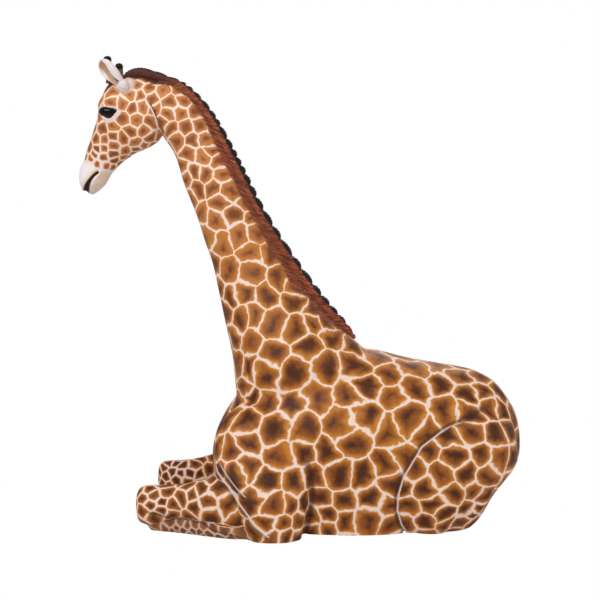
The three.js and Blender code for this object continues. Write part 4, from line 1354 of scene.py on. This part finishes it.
def eye_paint():
    """Black gloss with a faint brown ring, like a varnished glass eye."""
    material, brush = painted("eye_paint")
    cloud = brush.grain(150, 3)
    brown = brush.mix(cloud, (30, 17, 12), (58, 34, 22))
    colour = brush.mix(brush.step(brush.worn("iris"), 0.5, 0.85), (9, 7, 8), brown)
    gloss = {"Specular_IOR_Level": 0.1, "Coat_Weight": 0.16, "Coat_Roughness": 0.03}
    lay_on(brush, colour, brush.step(cloud, 0.2, 0.8, 0.04, 0.09), **gloss)
    return material


def tuft_paint():
    """Dark strands of hair."""
    material, brush = painted("tuft_paint")
    strokes = brush.grain(70, 4, 0.7, (1, 8, 6))
    colour = brush.mix(brush.step(strokes, 0.35, 0.68), (24, 17, 15), (84, 60, 46))
    lay_on(brush, colour, brush.step(strokes, 0.2, 0.8, 0.42, 0.6), (strokes, 0.7, 0.002))
    return material


def laminate_paint(fibre):
    """Resin with crossed glass fibres in it."""
    material, brush = painted("bare_laminate")
    strands, = brush.group(fibre)
    resin = brush.mix(brush.grain(14, 4), (104, 90, 66), (134, 118, 88))
    colour = brush.mix(strands * 0.6, resin, (188, 176, 146))
    lay_on(brush, colour, brush.step(strands, 0.0, 1.0, 0.5, 0.78), (strands, 0.4, 0.0009))
    return material


def steel_paint():
    """Rolled steel with spots of rust."""
    material, brush = painted("mild_steel")
    rolled = brush.grain(30, 5, 0.7, (1, 14, 1))
    spots = brush.step(brush.grain(60, 5, 0.75), 0.6, 0.74)
    metal = brush.mix(rolled, (112, 116, 122), (172, 174, 178))
    colour = brush.mix(spots * 0.55, metal, (118, 82, 58))
    metallic = brush.step(spots, 0.0, 1.0, 1.0, 0.35)
    lay_on(brush, colour, brush.step(rolled, 0.2, 0.8, 0.3, 0.5), (rolled, 0.15, 0.0004), Metallic=metallic)
    return material


strokes = crest_strokes()
coat = coat_paint(patch_pattern(), strokes)
laminate = laminate_paint(fibres())
steel = steel_paint()
horn_look = horn_paint()


def smooth(piece):
    mesh = piece.data
    mesh.polygons.foreach_set("use_smooth", np.ones(len(mesh.polygons), bool))
    mesh.update()
    return piece


def lay_normals(piece):
    """The piece is shaded as part of the whole skin, and its closing faces flat."""
    mesh = piece.data
    corner, _, per_face = corners_of(mesh)
    out = unit(read(mesh.attributes["skin_out"].data, "vector", 3) + 1e-9)[corner]
    flat = np.repeat(read(mesh.polygons, "normal", 3), per_face, axis=0)
    closing = np.repeat(read(mesh.polygons, "material_index", kind=np.int32), per_face) == 1
    smooth(piece)
    mesh.normals_split_custom_set(np.where(closing[:, None], flat, out))


# The recess in the underside ends above the bolts, and leaves a gap round the panel
RECESS_TOP = max(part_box(f"foot_bolt_{n}")[1].z for n in (1, 2, 3, 4)) + 0.003
PANEL_GAP = 0.0006


def hollow_for_panel(trunk):
    """Sinks a recess in the trunk's flat underside that the panel, plate and bolts stand in."""
    panel = nodes["base_panel"]
    bm = bmesh.new()
    for v in panel.data.vertices:
        bm.verts.new(panel.matrix_world @ v.co)
    low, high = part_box("base_panel")
    middle = (Vector(low) + Vector(high)) / 2
    hull = bmesh.ops.convex_hull(bm, input=bm.verts)
    inside = [g for g in hull["geom_interior"] if isinstance(g, bmesh.types.BMVert)]
    bmesh.ops.delete(bm, geom=inside, context="VERTS")
    for v in bm.verts:
        v.co.x += math.copysign(PANEL_GAP, v.co.x - middle.x)
        v.co.y += math.copysign(PANEL_GAP, v.co.y)
        v.co.z = -0.01 if v.co.z < middle.z else RECESS_TOP
    for f in bm.faces:
        f.material_index = 1
    cutter = as_object("recess", bm)
    with_modifier(trunk, "BOOLEAN", object=cutter, operation="DIFFERENCE", solver="EXACT")
    bpy.data.objects.remove(cutter)


def finish_piece(piece, casting, slot, *materials):
    for material in materials:
        piece.data.materials.append(material)
    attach(piece, "root")
    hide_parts(casting)


attribute = skin.data.attributes.new("skin_out", "FLOAT_VECTOR", "POINT")
attribute.data.foreach_set("vector", normals_of(skin.data).ravel())
for number, casting in enumerate(CASTING_NAMES):
    piece = part_off(skin, number)
    finish_piece(piece, casting, "coat", coat, laminate)
    if casting == "torso_shell":
        hollow_for_panel(piece)
    lay_normals(piece)
bpy.data.objects.remove(skin)


def mane_piece():
    """The crest: a ridge along the nape whose locks swell and end on its rim like scales."""
    rings = []
    poll = ramp(crest_along, POLL_START, POLL_END)
    for at, up, row, phase, over in zip(crest_path, crest_up, crest_rows, lock_phase, poll):
        swell = (1 - abs(2 * phase**1.25 - 1) ** 2.4) * (1 - 0.6 * over)
        above = row[2] * MANE_HEIGHT * (0.74 + 0.26 * swell) * (1 - 0.3 * over)
        half = row[3] * MANE_THICKNESS / 2 * (0.93 + 0.07 * swell)
        rings.append(oval(at, up, AXIS_Y, above, 1.2 * row[2] * MANE_HEIGHT, half, (1.8, 2), 44))
    piece = sleeve("mane_crest_locks", rings)
    mesh = piece.data
    co, out = coordinates(mesh), normals_of(mesh)
    nearest, height = hang_crest(mesh, co)
    along, phase = crest_along[nearest], lock_phase[nearest]
    tall = crest_rows[nearest, 2] * MANE_HEIGHT
    hang(mesh, "crest_top", height / (tall * (1 - 0.3 * poll[nearest])))
    # Each lock stands proud of the band below it, and strokes are cut across the band
    scale = ramp(height / tall, 0.3, 0.5) * np.sin(np.pi * phase) ** 0.5
    stroke = np.sin(2 * np.pi * (along + CREST_SLANT * height) / 0.0075 + 2 * np.sin(60 * along))
    push = 0.0016 * scale + 0.0005 * stroke * ramp(height / tall, -0.5, 0)
    move_points(mesh, co + push[:, None] * out)
    return smooth(piece)


# Where the ear stands on the head, in shares of its sizes, and how it leans: forward and outward, in degrees
EAR_ROOT = (0.33, 0.4, 0.13)
EAR_TILT = {"left": (-38, 22), "right": (-30, 42)}
EAR_ROLL = math.radians(58)
# The bowl lies towards the ear's inner rim: its middle and half its width, in halves of the ear's
EAR_BOWL = (-0.03, 0.7)
# The ear's round root, and the carved rings on it: how far out and how wide
BULB_RADIUS, BULB_MIDDLE = 0.0185, (0.001, 0, 0.006)
BULB_RINGS = [(0.006, 0.0012), (0.0105, 0.0012), (0.0148, 0.001)]


def ear_matrix(flank, side):
    forward, outward = (math.radians(a) for a in EAR_TILT[flank])
    root = (-EAR_ROOT[0] * HEAD_REACH, side * EAR_ROOT[1] * HEAD_WIDTH, -EAR_ROOT[2] * HEAD_DROP)
    place = HEAD_PLACE @ Matrix.Translation(root) @ Matrix.Rotation(-side * outward, 4, "X")
    return place @ Matrix.Rotation(forward, 4, "Y") @ Matrix.Rotation(-side * EAR_ROLL, 4, "Z")


def ear_ring(along, width, thickness, side):
    """One ring of the ear's leaf, with the bowl sunk into its front."""
    half, depth = width * EAR_WIDTH / 2, thickness * EAR_THICKNESS * 0.6
    half *= 1 + 0.28 * bump(along - 0.84, 0.24)
    ring = even_oval(np.array([0, 0, along * EAR_LENGTH]), AXIS_X, AXIS_Y, depth, half, 2, 72)
    # The outer rim is fullest above the root
    ring[:, 1] *= np.where(side * ring[:, 1] > 0, 1 + 0.3 * bump(along - 0.36, 0.22), 1)
    cup = ramp(along, 0.14, 0.34) * (1 - ramp(along, 0.88, 0.97))
    across = np.clip(side * ring[:, 1] / half, -1, 1)
    off = np.clip(np.abs(across - EAR_BOWL[0]) / EAR_BOWL[1], 0, 1)
    share = cup * (1 - off**2) ** 0.5 * (ring[:, 0] < 0)
    bottom = depth * np.sqrt(1 - across**2) - EAR_WALL
    ring[:, 0] += share * np.maximum(bottom - ring[:, 0], 0)
    return ring


def ear_piece(flank, side):
    """A leaf with a thick rim and a deep bowl, on a round root with carved rings."""
    leaf = sleeve("leaf", [ear_ring(*row, side) for row in blend_rows(EAR_ROWS, 10)])
    bm = bmesh.new()
    bmesh.ops.create_uvsphere(bm, u_segments=40, v_segments=24, radius=BULB_RADIUS)
    bmesh.ops.scale(bm, vec=(0.9, 1, 0.95), verts=bm.verts)
    bmesh.ops.translate(bm, vec=BULB_MIDDLE, verts=bm.verts)
    piece = remeshed(joined(f"ear_{flank}_leaf", [leaf, as_object("bulb", bm)]), 0.0014, 3)
    mesh = piece.data
    co, out = coordinates(mesh), normals_of(mesh)
    along, across = co[:, 2] / EAR_LENGTH, co[:, 1] / (EAR_WIDTH / 2)
    bulb = np.linalg.norm(co - [0, 0, BULB_MIDDLE[2]], axis=1) < 0.021
    beside = np.hypot(co[:, 0] - BULB_MIDDLE[0], co[:, 2] - BULB_MIDDLE[2])
    carved = bulb * sum(bump(beside - radius, width) for radius, width in BULB_RINGS)
    off = (side * across - EAR_BOWL[0]) / EAR_BOWL[1]
    inward = ramp(-out[:, 0], -0.2, 0.2) * ramp(along, 0.14, 0.24) * (1 - ramp(along, 0.93, 0.97))
    hang(mesh, "ear_along", along)
    hang(mesh, "ear_across", off)
    hang(mesh, "ear_bowl", inward * (1 - ramp(np.abs(off), 0.85, 1.02)))
    hang(mesh, "root_ring", carved)
    move_points(mesh, co - 0.0007 * carved[:, None] * out)
    mesh.transform(ear_matrix(flank, side))
    return smooth(piece)


def horn_piece(flank, side):
    rings = [
        even_oval(np.array([0, 0, along * HORN_LENGTH]), AXIS_X, AXIS_Y, radius, radius, 2, 48)
        for along, radius in blend_rows(HORN_ROWS, 8) * [1, HORN_RADIUS]
    ]
    piece = sleeve(f"horn_{flank}_post", rings)
    mesh = piece.data
    hang(mesh, "horn_along", coordinates(mesh)[:, 2] / HORN_LENGTH)
    root = (-0.545 * HEAD_REACH, side * HORN_SPACING / 2, -0.05 * HEAD_DROP - 0.0004)
    mesh.transform(HEAD_PLACE @ Matrix.Translation(root) @ Matrix.Rotation(math.radians(-8), 4, "Y"))
    return smooth(piece)


EYE_HALVES = (0.0252, 0.0148, 0.0148)


def eye_piece(flank, side):
    """A varnished eyeball, a little fuller than the lids."""
    low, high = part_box(f"eye_{flank}")
    bm = bmesh.new()
    bmesh.ops.create_uvsphere(bm, u_segments=64, v_segments=40, radius=1)
    piece = as_object(f"eye_{flank}_ball", bm)
    mesh = piece.data
    co = coordinates(mesh)
    hang(mesh, "iris", np.hypot(co[:, 0], co[:, 2]))
    turn = Matrix.Rotation(HEAD_TURN - side * math.radians(14), 4, "Z")
    turn = turn @ Matrix.Rotation(math.radians(8), 4, "Y")
    place = Matrix.Translation((Vector(low) + Vector(high)) / 2)
    mesh.transform(place @ turn @ Matrix.Diagonal((*EYE_HALVES, 1)))
    return smooth(piece)


def rope(name, path, radius_at, sides, steps):
    """A round rope along a path on the trunk, thick or thin as its radius says."""
    along, height, width = np.array(path).T
    x, y = BREAST_X + along * TORSO_LENGTH, width * TORSO_WIDTH / 2
    places = blend_rows(np.stack([x, y, height * TORSO_HEIGHT], 1), steps)
    forward = unit(np.gradient(places, axis=0))
    rings = []
    for at, ahead, share in zip(places, forward, np.linspace(0, 1, len(places))):
        up = unit(np.cross(ahead, AXIS_Y))
        radius = radius_at(share)
        rings.append(even_oval(at, up, np.cross(up, ahead), radius, radius, 2, sides))
    return smooth(sleeve(name, rings))


def tail_piece():
    return rope("tail_rope", TAIL_PATH, lambda t: TAIL_THICKNESS / 2 * (1 - 0.35 * t), 32, 24)


def tuft_radius(t):
    return TUFT_THICKNESS / 2 * (0.35 + 0.65 * math.sin(math.pi * t))


def tuft_piece():
    """Locks of hair, cut as grooves round the tuft."""
    piece = rope("tail_tuft_locks", TUFT_PATH, tuft_radius, 96, 32)
    mesh = piece.data
    co, out = coordinates(mesh), normals_of(mesh)
    turn = np.arctan2(out[:, 2], out[:, 1])
    groove = np.abs(np.sin(7 * turn + 30 * co[:, 0])) ** 0.7
    move_points(mesh, co - 0.0016 * (1 - groove)[:, None] * out)
    return piece


finish_piece(mane_piece(), "mane_crest", "mane", mane_paint(strokes))
ear_look, eye_look = ear_paint(), eye_paint()
for flank, side in SIDES.items():
    finish_piece(ear_piece(flank, side), f"ear_{flank}", "ear", ear_look)
    finish_piece(horn_piece(flank, side), f"horn_{flank}", "horn", horn_look)
    finish_piece(eye_piece(flank, side), f"eye_{flank}", "eye", eye_look)
finish_piece(tail_piece(), "tail", "coat", horn_look)
finish_piece(tuft_piece(), "tail_tuft", "tuft", tuft_paint())

inner = {"base_panel": laminate, "neck_collar": laminate, "foot_plate": steel, "neck_post": steel}
inner.update({f"foot_bolt_{n}": steel for n in (1, 2, 3, 4)})
for node, material in inner.items():
    nodes[node].data.materials.clear()
    nodes[node].data.materials.append(material)


# The studio: a white floor that the camera sees as plain white, and soft light from above
def lamp(name, place, aim, size, watts):
    light = bpy.data.lights.new(name, "AREA")
    light.size, light.energy = size, watts
    thing = bpy.data.objects.new(name, light)
    thing.location = place
    thing.rotation_euler = (Vector(aim) - Vector(place)).to_track_quat("-Z", "Y").to_euler()
    bpy.context.scene.collection.objects.link(thing)


def seen_by_camera(brush):
    return brush.add("ShaderNodeLightPath").outputs["Is Camera Ray"]


floor_bm = bmesh.new()
bmesh.ops.create_grid(floor_bm, x_segments=1, y_segments=1, size=12)
floor = as_object("studio_floor", floor_bm)
floor.location.z = -0.0005
floor_paint, brush = painted("studio_floor")
shader = brush.tree.nodes["Principled BSDF"]
shader.inputs["Base Color"].default_value = (0.86, 0.86, 0.86, 1)
shader.inputs["Roughness"].default_value = 0.9
glow = brush.fill(brush.add("ShaderNodeEmission"), (255, 255, 255))
mixer = brush.fill(brush.add("ShaderNodeMixShader"), seen_by_camera(brush), shader.outputs[0], glow)
brush.give(brush.tree.nodes["Material Output"], mixer)
floor.data.materials.append(floor_paint)

scene = bpy.context.scene
world = bpy.data.worlds.new("studio")
scene.world = world
world.use_nodes = True
brush = Paint(world.node_tree)
brightness = brush.step(seen_by_camera(brush), 0.0, 1.0, 0.42, 1.0)
brush.give(world.node_tree.nodes["Background"], (255, 255, 255), brightness)
lamp("key_light", (-1.2, -2.2, 2.4), (0, 0, 0.5), 1.6, 46)
lamp("fill_light", (2.4, -1.8, 1.4), (0, 0, 0.4), 1.6, 16)
lamp("back_light", (0.6, 2.2, 2.2), (0, 0, 0.6), 1.4, 18)

camera = bpy.data.objects.new("camera", bpy.data.cameras.new("camera"))
camera.location = CAMERA
camera.rotation_euler = (math.pi / 2, 0, 0)
camera.data.lens = CAMERA_LENS
scene.collection.objects.link(camera)
scene.camera = camera
scene.view_settings.view_transform = "Standard"
